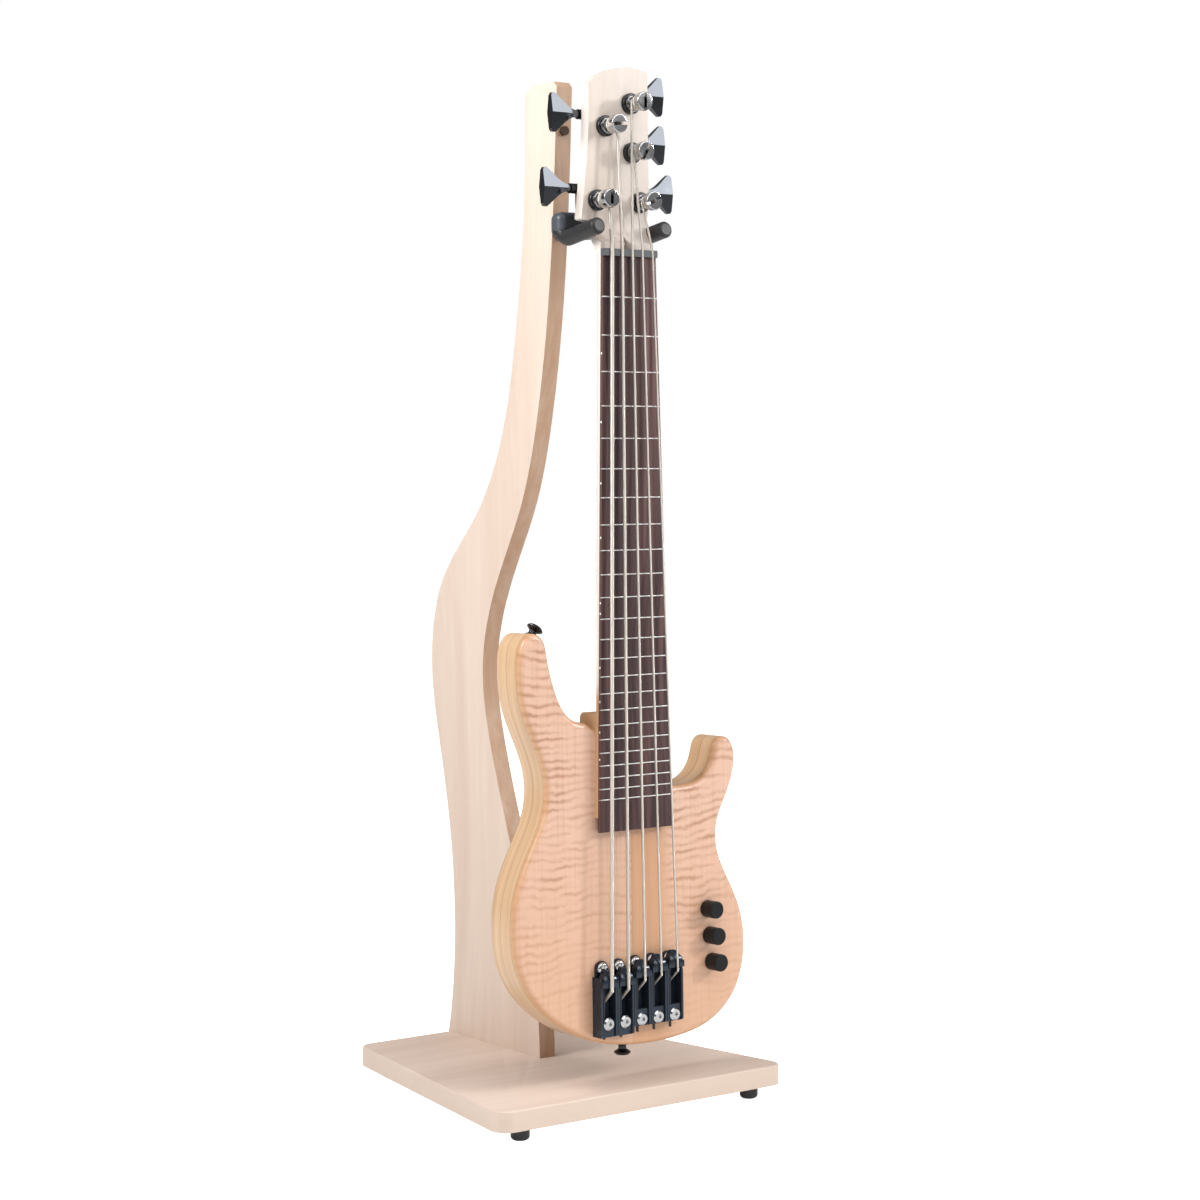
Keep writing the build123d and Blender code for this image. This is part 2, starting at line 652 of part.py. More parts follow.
def saddle(index):
    """The block that a string crosses, which slides to set the octave."""
    x = string_x(index, BRIDGE_PITCH)
    rear = -SADDLE_DOWN[index] + 2.4
    half = CHANNEL_HALF - 0.2
    side = Polyline(
        (1.3, rear), (-5.8, rear), (-6.2, rear + 0.5), (-6.2, rear + 5), (-4.8, rear + 8.5),
        (-1.4, rear + 13), (1.3, rear + 13), close=True
    )
    body = extrude(Plane.YZ.offset(x - half) * make_face(side), 2 * half)
    top_view = Polyline(
        (x - half, rear - 1), (x + half, rear - 1), (x + half, rear + 7.5), (x + 2.2, rear + 13),
        (x - 2.2, rear + 13), (x - half, rear + 7.5), close=True
    )
    body &= slab(make_face(top_view), -10, 5)
    ear_half = BASE_HALF - 0.3
    body += block(x - ear_half, x + ear_half, -6.2, WALL_Y - MOVING_GAP, rear, rear + 5)
    body -= cyl_z(x, STRING_SADDLE_Y, rear - 1, rear + 20, STRING_R[index] + MOVING_GAP)
    return body - cyl_z(x + PITCH_SCREW_DX, PITCH_SCREW_Y, rear - 1, rear + 14, PITCH_SCREW_R + RUNNING_GAP)


def build_bridge():
    indices = range(STRING_COUNT)
    put("bridge_bases", Compound(children=[bridge_base(i) for i in indices]))
    put("bridge_screws", Compound(children=[bridge_screw(x, d) for x, d in bridge_screw_spots()]))
    put("anchor_screws", Compound(children=[anchor_screw(string_x(i, BRIDGE_PITCH)) for i in indices]))
    put("intonation_screws", Compound(children=[pitch_screw(i) for i in indices]))
    put("piezo_strips", Compound(children=[piezo_strip(i) for i in indices]))
    for index in indices:
        put(f"saddle_{index + 1}", saddle(index))
        put(f"string_{index + 1}", build_string(index))


# --------------------------------------------------------------------- tuners
BUSH_FRONT_Y = 8.3
HOUSING_BACK_Y = 31.0


def tuner_screw(x, z):
    shank = cyl_y(x, 15, HEAD_BACK_Y + 2.5, z - 12.2, 1.1)
    return shank + cyl_y(x, HEAD_BACK_Y + 2.5, HEAD_BACK_Y + 4, z - 12.2, 2.2)


def tuner_bushing(x, z):
    ring = cyl_y(x, BUSH_FRONT_Y, HEAD_FACE_Y, z, 8.0)
    ring = fillet(ring.edges().sort_by(Axis.Y)[0], 1.2)
    return ring + cyl_y(x, HEAD_FACE_Y, 20.5, z, 5.0) - cyl_y(x, 0, 30, z, POST_R + RUNNING_GAP)


def tuner_housing(x, z, side):
    """A gear case screwed to the headstock's back, open towards the wood."""
    worm_z = z + KEY_ABOVE_POST
    low_x, high_x = sorted((x - side * 9.5, x + side * 7.4))
    case = block(low_x, high_x, HEAD_BACK_Y, HOUSING_BACK_Y, z - 9.5, z + 14.5)
    case = fillet(case.edges().filter_by(Axis.Y), 4.0)
    case = chamfer(case.faces().sort_by(Axis.Y)[-1].edges(), 2.0)
    case += block(x - 4, x + 4, HEAD_BACK_Y, HEAD_BACK_Y + 2.5, z - 15.2, z - 9)
    case += cyl_x(x + side * 7, x + side * 15.5, KEY_AXIS_Y, worm_z, 3.8)
    case -= cyl_y(x, HEAD_BACK_Y - 1, 29, z, 6.6)
    case -= cyl_x(x - 6, x + 6, KEY_AXIS_Y, worm_z, 3.9)
    case -= block(x - 6, x + 6, HEAD_BACK_Y - 1, KEY_AXIS_Y, worm_z - 3.9, worm_z + 3.9)
    case -= cyl_x(x - side * 8.5, x + side * 16, KEY_AXIS_Y, worm_z, 2.0 + RUNNING_GAP)
    return case - tuner_screw(x, z)


def tuner_post(x, z, slot_angle):
    """A slotted string post with its gear on the lower end."""
    post = cyl_y(x, -3, 28, z, POST_R)
    post += cyl_y(x, 7.0, BUSH_FRONT_Y - MOVING_GAP, z, 6.6)
    post += cyl_y(x, 6.0, 7.0, z, 5.4)
    post += cyl_y(x, -3, 6, z, WAIST_R)
    cap = cyl_y(x, -8.0, -2.5, z, 7.2)
    cap = fillet(cap.edges(), 0.8)
    post += cap
    slot = Pos(x, -4.0, z) * Rot(0, -slot_angle, 0) * Box(20, 9.0, 2.6)
    post -= slot
    return post + cyl_y(x, 23, 28, z, 6.0)


def tuner_key(x, z, side):
    """A flared key on its worm shaft."""
    worm_z = z + KEY_ABOVE_POST
    shaft = cyl_x(x - side * 8.2, x + side * 18, KEY_AXIS_Y, worm_z, 2.0)
    worm = cyl_x(x - 5, x + 5, KEY_AXIS_Y, worm_z, 3.2)
    stem = cyl_x(x + side * 15.8, x + side * 24, KEY_AXIS_Y, worm_z, 2.7)
    upper = Spline((17.5, 2.2), (22, 3.2), (28, 6.8), (33, 11.2), (37.5, 15))
    lower = Spline((37.5, -15), (33, -11.2), (28, -6.8), (22, -3.2), (17.5, -2.2))
    tip = Polyline((37.5, 15), (40, 14.6), (41, 12.5), (41, -12.5), (40, -14.6), (37.5, -15))
    root = Line((17.5, -2.2), (17.5, 2.2))
    flare = make_face([upper, *tip.edges(), lower, root])
    blade = extrude(Plane.XZ.offset(-5) * flare, 10)
    hexagon = Polyline(
        (-3.8, 0), (-1.4, 15.5), (1.4, 15.5), (3.8, 0), (1.4, -15.5), (-1.4, -15.5), close=True
    )
    blade &= extrude(Plane.YZ * make_face(hexagon), 60)
    if side < 0:
        blade = mirror(blade, Plane.YZ)
    return shaft + worm + stem + Pos(x, KEY_AXIS_Y, worm_z) * blade


def build_tuners():
    sides = [-1 if x < 0 else 1 for x, _ in POSTS]
    put("tuner_bushings", Compound(children=[tuner_bushing(x, z) for x, z in POSTS]))
    housings = [tuner_housing(x, z, side) for (x, z), side in zip(POSTS, sides)]
    put("tuner_housings", Compound(children=housings))
    put("tuner_screws", Compound(children=[tuner_screw(x, z) for x, z in POSTS]))
    for index, ((x, z), side) in enumerate(zip(POSTS, sides)):
        put(f"tuner_post_{index + 1}", tuner_post(x, z, SLOT_ANGLES[index]))
        put(f"tuner_key_{index + 1}", tuner_key(x, z, side))


# ---------------------------------------------------------------- electronics
def pot(x, down):
    case = cyl_y(x, 15, 24, -down, 8.5)
    bush = cyl_y(x, 4.4, 15, -down, 3.5)
    return case + bush - cyl_y(x, 0, 23, -down, 3.0 + RUNNING_GAP)


def pot_nut(x, down):
    nut = Pos(x, BODY_TOP_Y - 0.9, -down) * Rot(90, 0, 0) * extrude(RegularPolygon(5.2, 6), 0.9, both=True)
    return nut - cyl_y(x, 0, 10, -down, 3.5)


def knob(x, down):
    grip = cyl_y(x, -6.2, 6.3, -down, KNOB_R)
    grip = fillet(grip.edges().sort_by(Axis.Y)[0], 1.2)
    grip -= cyl_y(x, 3.4, 8, -down, 5.8)
    shaft = cyl_y(x, -2, 22, -down, 3.0)
    return grip + shaft


def build_electronics():
    put("pots", Compound(children=[pot(x, down) for x, down in KNOBS]))
    put("pot_nuts", Compound(children=[pot_nut(x, down) for x, down in KNOBS]))
    for index, (x, down) in enumerate(KNOBS):
        put(f"knob_{index + 1}", knob(x, down))
    board = block(56, 85, 30, 31.6, -556, -500)
    board += block(60, 70, 27.5, 30, -520, -508) + block(60, 66, 26.5, 30, -548, -534)
    board += cyl_y(78, 25.5, 30, -514, 3.0)
    put("preamp_board", board)
    x0, x1, z0, z1 = BATTERY_BAY
    cell = block(x0 + 0.8, x1 - 0.8, 21.2, 38.6, z0 + 1, z1 - 3.5)
    cell = fillet(cell.edges().filter_by(Axis.Z), 2.0)
    cell += cyl_z(9, 30, z1 - 3.5, z1 - 1.0, 2.8) + cyl_z(22, 30, z1 - 3.5, z1 - 1.0, 3.6)
    put("battery", cell)


build_stand()
build_body()
build_neck()
build_fingerboard()
build_bridge()
build_tuners()
build_electronics()

for name, shape in nodes.items():
    export_step(shape, f"parts/{name}.step")
print(len(nodes), "nodes")
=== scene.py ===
"""Looks of a five-string short-scale bass hanging on its wooden floor stand."""

import json
import logging
import math
from dataclasses import dataclass, field
from enum import Enum
from typing import Any

import bmesh
import bpy
from mathutils import Matrix, Vector

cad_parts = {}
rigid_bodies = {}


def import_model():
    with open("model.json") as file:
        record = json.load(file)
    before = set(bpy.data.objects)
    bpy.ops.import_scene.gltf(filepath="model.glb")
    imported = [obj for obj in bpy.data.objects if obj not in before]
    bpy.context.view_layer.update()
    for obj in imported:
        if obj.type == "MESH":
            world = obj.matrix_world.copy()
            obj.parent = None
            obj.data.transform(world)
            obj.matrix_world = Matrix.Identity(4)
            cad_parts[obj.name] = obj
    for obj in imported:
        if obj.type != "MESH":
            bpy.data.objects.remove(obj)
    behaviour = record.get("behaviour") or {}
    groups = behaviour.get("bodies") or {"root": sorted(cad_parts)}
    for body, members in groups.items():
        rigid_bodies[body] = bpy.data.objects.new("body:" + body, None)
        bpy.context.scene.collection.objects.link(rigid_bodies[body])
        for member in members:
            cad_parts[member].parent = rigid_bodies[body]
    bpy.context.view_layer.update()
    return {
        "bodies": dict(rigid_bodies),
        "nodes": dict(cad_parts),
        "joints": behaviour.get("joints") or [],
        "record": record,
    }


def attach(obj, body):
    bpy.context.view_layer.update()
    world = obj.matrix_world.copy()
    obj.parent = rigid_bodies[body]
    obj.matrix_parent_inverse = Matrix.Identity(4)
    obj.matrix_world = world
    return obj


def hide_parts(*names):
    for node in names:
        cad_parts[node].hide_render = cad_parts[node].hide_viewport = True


LOG = logging.getLogger("bass_on_stand")
MM = 0.001
SEMITONES = 12.0
WHITE = (1.0, 1.0, 1.0, 1.0)

# The neck frame: nut edge at its origin, X across, Y to the back, Z to the headstock.
NUT_PLACE = Vector((0.0, -0.11865, 0.6594))
LEAN = math.radians(-1.2)
NECK_TO_WORLD = Matrix.Translation(NUT_PLACE) @ Matrix.Rotation(LEAN, 4, "X")

RGB = tuple[float, float, float]
Triple = tuple[float, float, float]
Bay = tuple[float, float, float, float]


class Feel(Enum):
    """How a hard finish spreads a highlight."""

    MIRROR = 0.07
    GLOSS = 0.18
    SATIN = 0.34
    MATTE = 0.55


class Run(Enum):
    """The direction that a board's grain runs in, as the rotation that lays it on Z."""

    UP = (0.0, 0.0, 0.0)
    ACROSS = (0.0, math.pi / 2, 0.0)


@dataclass(frozen=True)
class Speckle:
    """One noise pattern: how a surface is stretched under it, and how fine and how bent it is."""

    stretch: Triple | None
    detail: float = 3.0
    rough: float = 0.5
    bend: float = 0.0
    scale: float = 1.0


GRAIN_WARP = Speckle((9.0, 9.0, 2.2), 2.0)
GRAIN_BANDS = Speckle((34.0, 34.0, 1.3), 3.0, 0.5, 0.4)
GRAIN_STREAKS = Speckle((190.0, 190.0, 3.5), 5.0, 0.62, 0.2)
GRAIN_PORES = Speckle((1250.0, 1250.0, 38.0), 3.0, 0.6)
CURL_SWAY = Speckle((9.0, 9.0, 6.0), 2.0)
CURL_JITTER = Speckle((60.0, 20.0, 34.0), 3.0, 0.55)
CURL_EACH = Speckle((26.0, 26.0, 150.0), 2.0)
CURL_PATCHES = Speckle((19.0, 19.0, 11.0))
CAP_LINES = Speckle((420.0, 420.0, 5.0), 3.0, 0.6)
WING_LAYERS = Speckle((5.0, 260.0, 5.0), 5.0, 0.62, 0.5)
WING_BANDS = Speckle((7.0, 60.0, 7.0))
SMUDGES = Speckle(None, 4.0, 0.6, 0.8, 42.0)
TOOTH = Speckle(None, 2.0, 0.5, 0.0, 1700.0)


class Graph:
    """Adds and joins the nodes of one node tree."""

    PER_ROW = 8
    COLUMN = 180
    ROW = -220

    def __init__(self, tree: bpy.types.NodeTree) -> None:
        """Keeps the tree that nodes go to."""
        self.tree = tree
        self.count = 0

    def feed(self, socket: bpy.types.NodeSocket, value: Any) -> None:
        """Links a source to a socket, or sets the socket's own value.

        Args:
            socket: The input socket.
            value: Another node's output socket, or a plain value.
        """
        if isinstance(value, bpy.types.NodeSocket):
            self.tree.links.new(value, socket)
        else:
            socket.default_value = value

    def add(self, kind: str, inputs: dict[Any, Any] | None = None, **settings: Any) -> bpy.types.Node:
        """Adds a node.

        Args:
            kind: The node's bl_idname.
            inputs: Values or sockets for its inputs, by name or number.
            settings: The node's own properties.

        Returns:
            The new node.
        """
        node = self.tree.nodes.new(kind)
        node.location = (self.COLUMN * (self.count % self.PER_ROW), self.ROW * (self.count // self.PER_ROW))
        self.count += 1
        for name, value in settings.items():
            setattr(node, name, value)
        for key, value in (inputs or {}).items():
            self.feed(node.inputs[key], value)
        return node

    def math(self, operation: str, *values: Any) -> bpy.types.NodeSocket:
        """Adds a math node on up to three values or sockets and returns its result."""
        return self.add("ShaderNodeMath", dict(enumerate(values)), operation=operation).outputs[0]

    def span(self, value: Any, low: float, high: float, to_low: float = 0.0, to_high: float = 1.0) -> Any:
        """Maps a value from one span to another, without leaving it."""
        given = {"Value": value, "From Min": low, "From Max": high, "To Min": to_low, "To Max": to_high}
        return self.add("ShaderNodeMapRange", given).outputs[0]

    def spread(self, value: Any) -> bpy.types.NodeSocket:
        """Spreads the middle of a noise pattern over 0 to 1."""
        return self.span(value, 0.3, 0.7)

    def blend(self, mask: Any, first: Any, second: Any) -> bpy.types.NodeSocket:
        """Mixes two colours.

        Args:
            mask: How much of the second colour shows.
            first: The colour under the mask, as a triple or a socket.
            second: The colour that the mask brings in, as a triple or a socket.

        Returns:
            The mixed colour.
        """
        node = self.add("ShaderNodeMix", {0: mask}, data_type="RGBA")
        for index, value in ((6, first), (7, second)):
            self.feed(node.inputs[index], (*value, 1.0) if isinstance(value, tuple) else value)
        return node.outputs[2]

    def axis(self, vector: Any, index: int) -> bpy.types.NodeSocket:
        """Returns one of a vector's three numbers."""
        return self.add("ShaderNodeSeparateXYZ", {0: vector}).outputs[index]

    def stretch(self, vector: Any, scale: Triple, turn: Triple = (0.0, 0.0, 0.0)) -> bpy.types.NodeSocket:
        """Turns and scales a vector and returns it."""
        return self.add("ShaderNodeMapping", {"Vector": vector, "Scale": scale, "Rotation": turn}).outputs[0]

    def speckle(self, vector: Any, pattern: Speckle) -> bpy.types.NodeSocket:
        """Adds a noise pattern.

        Args:
            vector: The place on the surface.
            pattern: The pattern's numbers.

        Returns:
            The pattern's value.
        """
        laid = self.stretch(vector, pattern.stretch) if pattern.stretch else vector
        given = {"Vector": laid, "Scale": pattern.scale, "Detail": pattern.detail,
                 "Roughness": pattern.rough, "Distortion": pattern.bend}
        return self.add("ShaderNodeTexNoise", given).outputs[0]


def new_group(name: str, wants: dict[str, float | None], gives: list[str]) -> tuple[Graph, Any, Any]:
    """Starts a shader node group.

    Args:
        name: The group's name.
        wants: Input names, with a value for a number and None for a vector.
        gives: Names of its value outputs.

    Returns:
        The group's graph, the outputs of its input node and the inputs of its output node.
    """
    tree = bpy.data.node_groups.new(name, "ShaderNodeTree")
    for label, value in wants.items():
        kind = "NodeSocketVector" if value is None else "NodeSocketFloat"
        socket = tree.interface.new_socket(label, in_out="INPUT", socket_type=kind)
        if value is not None:
            socket.default_value = value
    for label in gives:
        tree.interface.new_socket(label, in_out="OUTPUT", socket_type="NodeSocketFloat")
    graph = Graph(tree)
    return graph, graph.add("NodeGroupInput").outputs, graph.add("NodeGroupOutput").inputs


@dataclass
class Effects:
    """The shader effects that several finishes share, each built once."""

    bend_side: float = 0.1
    bend_depth: float = 0.06
    curl_pitch: float = 0.0065
    curl_waver: float = 0.010
    curl_sway: float = 3.2
    curl_peak: float = 1.7

    def __post_init__(self) -> None:
        """Builds every shared group."""
        self.grain = self._grain()
        self.flame = self._flame()
        self.handling = self._handling()

    def _grain(self) -> bpy.types.NodeTree:
        """Long wood grain along Z: broad bands, streaks and fine pores.

        Returns:
            The group's tree.
        """
        wants = {"Vector": None, "Width": 1.0, "Length": 1.0, "Cathedral": 0.3}
        g, given, out = new_group("wood_grain", wants, ["Bands", "Streaks", "Pores"])
        sized = g.add("ShaderNodeCombineXYZ", {0: given["Width"], 1: given["Width"], 2: given["Length"]})
        laid = {0: given["Vector"], 1: sized.outputs[0]}
        long = g.add("ShaderNodeVectorMath", laid, operation="MULTIPLY").outputs[0]
        shifted = g.math("MULTIPLY", g.speckle(long, GRAIN_WARP), given["Cathedral"])
        axes = g.add("ShaderNodeSeparateXYZ", {0: long}).outputs
        side = g.math("ADD", axes[0], g.math("MULTIPLY", shifted, self.bend_side))
        depth = g.math("ADD", axes[1], g.math("MULTIPLY", shifted, self.bend_depth))
        bent = g.add("ShaderNodeCombineXYZ", {0: side, 1: depth, 2: axes[2]}).outputs[0]
        for label, pattern in (("Bands", GRAIN_BANDS), ("Streaks", GRAIN_STREAKS), ("Pores", GRAIN_PORES)):
            g.feed(out[label], g.spread(g.speckle(bent, pattern)))
        return g.tree

    def _flame(self) -> bpy.types.NodeTree:
        """Curled figure: close, wavy cross stripes that come and go over the board.

        Returns:
            The group's tree.
        """
        wants = {"Vector": None, "Pitch": self.curl_pitch, "Waver": self.curl_waver}
        g, given, out = new_group("flame_figure", wants, ["Stripes", "Patches"])
        vector = given["Vector"]
        slow, quick = (g.math("SUBTRACT", g.speckle(vector, s), 0.5) for s in (CURL_SWAY, CURL_JITTER))
        sway = g.math("MULTIPLY", g.math("MULTIPLY", slow, given["Waver"]), self.curl_sway)
        jitter = g.math("MULTIPLY", quick, given["Waver"])
        height = g.math("ADD", g.axis(vector, 2), g.math("ADD", sway, jitter))
        turns = g.math("DIVIDE", height, given["Pitch"])
        wave = g.math("SINE", g.math("MULTIPLY", turns, 2 * math.pi))
        stripes = g.math("POWER", g.span(wave, -1.0, 1.0), self.curl_peak)
        each = g.speckle(vector, CURL_EACH)
        patches = g.speckle(vector, CURL_PATCHES)
        strength = g.math("MULTIPLY", g.span(each, 0.34, 0.62), g.span(patches, 0.30, 0.60, 0.25, 1.0))
        g.feed(out["Stripes"], g.math("MULTIPLY", stripes, strength))
        g.feed(out["Patches"], g.spread(patches))
        return g.tree

    def _handling(self) -> bpy.types.NodeTree:
        """Marks of use and manufacture: soft smudges and a fine tooth.

        Returns:
            The group's tree.
        """
        g, given, out = new_group("handling_marks", {"Vector": None}, ["Smudges", "Tooth"])
        g.feed(out["Smudges"], g.span(g.speckle(given["Vector"], SMUDGES), 0.35, 0.7))
        g.feed(out["Tooth"], g.spread(g.speckle(given["Vector"], TOOTH)))
        return g.tree


@dataclass(frozen=True)
class Finish:
    """A surface finish. Each kind knows how to build its own material."""

    name: str

    def start(self) -> tuple[bpy.types.Material, Graph, bpy.types.Node, Any]:
        """Opens a new material.

        Returns:
            The material, its graph, its Principled node and its texture coordinates.
        """
        material = bpy.data.materials.new(self.name)
        material.use_nodes = True
        material.node_tree.nodes.clear()
        g = Graph(material.node_tree)
        shader = g.add("ShaderNodeBsdfPrincipled")
        g.add("ShaderNodeOutputMaterial", {"Surface": shader.outputs[0]})
        return material, g, shader, g.add("ShaderNodeTexCoord").outputs

    def use(self, g: Graph, tree: bpy.types.NodeTree, inputs: dict[str, Any]) -> Any:
        """Places a shared effect in the material.

        Args:
            g: The material's graph.
            tree: The effect's tree.
            inputs: Values or sockets for the effect, by name.

        Returns:
            The effect's outputs.
        """
        node = g.add("ShaderNodeGroup", node_tree=tree)
        for key, value in inputs.items():
            g.feed(node.inputs[key], value)
        return node.outputs

    def finish(self, g: Graph, shader: bpy.types.Node, inputs: dict[str, Any]) -> None:
        """Feeds the shader's inputs, given by name."""
        for label, value in inputs.items():
            g.feed(shader.inputs[label], value)

    def emboss(self, g: Graph, shader: bpy.types.Node, height: Any, depth: float, strength: float) -> None:
        """Feeds a height to the shader's normal."""
        bump = g.add("ShaderNodeBump", {"Height": height, "Distance": depth, "Strength": strength})
        g.feed(shader.inputs["Normal"], bump.outputs[0])


@dataclass(frozen=True)
class Timber(Finish):
    """Solid wood with grain, pores and an oiled or lacquered face, with painted shade below a given height
    where asked.
    """

    light: RGB
    dark: RGB
    edge: RGB
    run: Run = Run.UP
    width: float = 1.0
    cathedral: float = 0.6
    band: float = 0.55
    streak: float = 0.35
    pore: float = 0.16
    roughness: float = 0.42
    roughness_spread: float = 0.10
    coat: float = 0.0
    coat_roughness: float = 0.12
    edge_axis: int = 0
    edge_from: float = 0.6
    edge_fade: float = 0.25
    edge_least: float = 0.7
    shine: float = 0.4
    heel_shade: RGB = (0.0, 0.0, 0.0)
    heel_shade_below: float = -1.0
    heel_shade_fade: float = 0.012
    heel_shade_most: float = 0.85
    pore_depth: float = 0.00004
    relief: float = 0.6

    def build(self, effects: Effects) -> bpy.types.Material:
        """Builds the material.

        Args:
            effects: The shared shader effects.

        Returns:
            The material.
        """
        material, g, shader, where = self.start()
        turned = g.stretch(where["Object"], (1.0, 1.0, 1.0), self.run.value)
        grain = self.use(g, effects.grain, {
            "Vector": turned, "Width": self.width, "Cathedral": self.cathedral,
        })
        lines = g.math("MULTIPLY", grain["Streaks"], self.streak)
        mask = g.math("ADD", g.math("MULTIPLY", grain["Bands"], self.band), lines)
        colour = g.blend(mask, self.light, self.dark)
        colour = g.blend(g.math("MULTIPLY", grain["Pores"], self.pore), colour, self.dark)
        facing = g.math("ABSOLUTE", g.axis(where["Normal"], self.edge_axis))
        edge = g.span(facing, self.edge_from, self.edge_from - self.edge_fade)
        streaky = g.span(lines, 0.0, self.streak, self.edge_least, 1.0)
        colour = g.blend(g.math("MULTIPLY", edge, streaky), colour, self.edge)
        # Painted shade: below a given height the colour turns amber, standing in for the shade that falls on
        # the neck's heel in the body's cutaway.
        if self.heel_shade_below > 0.0:
            height = g.axis(where["Object"], 2)
            heel_shade_mask = g.span(height, self.heel_shade_below, self.heel_shade_below - self.heel_shade_fade, 0.0, self.heel_shade_most)
            colour = g.blend(heel_shade_mask, colour, self.heel_shade)
        self.finish(g, shader, {
            "Base Color": colour, "Specular IOR Level": self.shine, "Coat Weight": self.coat,
            "Coat Roughness": self.coat_roughness,
            "Roughness": g.math("MULTIPLY_ADD", grain["Streaks"], self.roughness_spread, self.roughness),
        })
        self.emboss(g, shader, grain["Pores"], self.pore_depth, self.relief)
        return material


@dataclass(frozen=True)
class FlamedTop(Finish):
    """Curled maple cap in two halves, the treble one plain and golden beside the seam."""

    light: RGB = (0.770, 0.500, 0.370)
    dark: RGB = (0.460, 0.235, 0.140)
    plain: RGB = (0.660, 0.360, 0.190)
    amber: RGB = (0.540, 0.270, 0.100)
    seam_x: float = 0.0
    seam_half: float = 0.0002
    plain_to: float = 0.0330
    fade: float = 0.0060
    cathedral: float = 0.5
    line: float = 0.20
    streak: float = 0.12
    band: float = 0.25
    pore: float = 0.12
    plain_most: float = 0.9
    rim_most: float = 0.62
    roughness: float = 0.34
    roughness_spread: float = 0.08
    coat: float = 0.25
    coat_roughness: float = 0.18
    pore_depth: float = 0.00002
    relief: float = 0.5

    def build(self, effects: Effects) -> bpy.types.Material:
        """Builds the material.

        Args:
            effects: The shared shader effects.

        Returns:
            The material.
        """
        material, g, shader, where = self.start()
        vector = where["Object"]
        flame = self.use(g, effects.flame, {"Vector": vector})
        grain = self.use(g, effects.grain, {"Vector": vector, "Cathedral": self.cathedral})
        side, height = g.axis(vector, 0), g.axis(vector, 2)
        inside = g.math("MULTIPLY", g.span(side, self.seam_x - self.seam_half, self.seam_x + self.seam_half),
                        g.span(side, self.plain_to + self.fade, self.plain_to - self.fade))
        figured = g.math("MULTIPLY", g.span(inside, 0.0, 1.0, 1.0, 0.2),
                         g.span(height, 0.06, 0.20, 0.30, 0.95))
        stripes = g.math("MULTIPLY", flame["Stripes"], figured)
        lines = g.span(g.speckle(vector, CAP_LINES), 0.50, 0.72)
        fine = g.math("MULTIPLY_ADD", lines, self.line, g.math("MULTIPLY", grain["Streaks"], self.streak))
        colour = g.blend(g.math("ADD", stripes, fine), self.light, self.dark)
        strip = g.blend(g.math("MULTIPLY_ADD", grain["Bands"], self.band, fine), self.plain, self.dark)
        colour = g.blend(g.math("MULTIPLY", inside, self.plain_most), colour, strip)
        colour = g.blend(g.span(height, 0.24, 0.06, 0.0, 0.55), colour, self.plain)
        seam = g.math("ABSOLUTE", g.math("SUBTRACT", side, self.seam_x))
        colour = g.blend(g.span(seam, 3 * self.seam_half, self.seam_half, 0.0, 0.5), colour, self.amber)
        colour = g.blend(g.math("MULTIPLY", grain["Pores"], self.pore), colour, self.dark)
        rim = g.span(g.math("MULTIPLY", g.axis(where["Normal"], 1), -1.0), 0.985, 0.55)
        colour = g.blend(g.math("MULTIPLY", rim, self.rim_most), colour, self.amber)
        self.finish(g, shader, {
            "Base Color": colour, "Coat Weight": self.coat, "Coat Roughness": self.coat_roughness,
            "Roughness": g.math("MULTIPLY_ADD", stripes, self.roughness_spread, self.roughness),
        })
        self.emboss(g, shader, grain["Pores"], self.pore_depth, self.relief)
        return material


@dataclass(frozen=True)
class LaminatedSides(Finish):
    """Body wings glued up in layers, so the sides carry long dark lines."""

    light: RGB = (0.700, 0.470, 0.285)
    dark: RGB = (0.470, 0.275, 0.135)
    glue: RGB = (0.300, 0.155, 0.065)
    layer: float = 0.0125
    datum: float = 1.0
    glue_most: float = 0.55
    width: float = 1.1
    length: float = 0.8
    cathedral: float = 0.9
    band: float = 0.5
    streak: float = 0.4
    pore: float = 0.2
    roughness: float = 0.28
    roughness_spread: float = 0.10
    coat: float = 0.4
    coat_roughness: float = 0.12
    pore_depth: float = 0.00003
    relief: float = 0.5

    def build(self, effects: Effects) -> bpy.types.Material:
        """Builds the material.

        Args:
            effects: The shared shader effects.

        Returns:
            The material.
        """
        material, g, shader, where = self.start()
        vector = where["Object"]
        flat = g.span(g.speckle(vector, WING_LAYERS), 0.42, 0.72, 0.0, 0.62)
        mask = g.math("ADD", flat, g.span(g.speckle(vector, WING_BANDS), 0.40, 0.72, 0.0, 0.38))
        colour = g.blend(mask, self.light, self.dark)
        layered = g.math("ADD", g.axis(vector, 1), g.math("MULTIPLY", g.axis(vector, 2), math.sin(LEAN)))
        phase = g.math("FRACT", g.math("DIVIDE", g.math("ADD", layered, self.datum), self.layer))
        line = g.span(g.math("ABSOLUTE", g.math("SUBTRACT", phase, 0.5)), 0.05, 0.02)
        sides = g.span(g.math("ABSOLUTE", g.axis(where["Normal"], 1)), 0.7, 0.4)
        glued = g.math("MULTIPLY", g.math("MULTIPLY", line, sides), self.glue_most)
        colour = g.blend(glued, colour, self.glue)
        grain = self.use(g, effects.grain, {
            "Vector": vector, "Width": self.width, "Length": self.length, "Cathedral": self.cathedral,
        })
        bands = g.math("MULTIPLY", grain["Bands"], self.band)
        back = g.blend(g.math("MULTIPLY_ADD", grain["Streaks"], self.streak, bands), self.light, self.dark)
        colour = g.blend(sides, back, colour)
        colour = g.blend(g.math("MULTIPLY", grain["Pores"], self.pore), colour, self.dark)
        self.finish(g, shader, {
            "Base Color": colour, "Coat Weight": self.coat, "Coat Roughness": self.coat_roughness,
            "Roughness": g.math("MULTIPLY_ADD", mask, self.roughness_spread, self.roughness),
        })
        self.emboss(g, shader, grain["Pores"], self.pore_depth, self.relief)
        return material


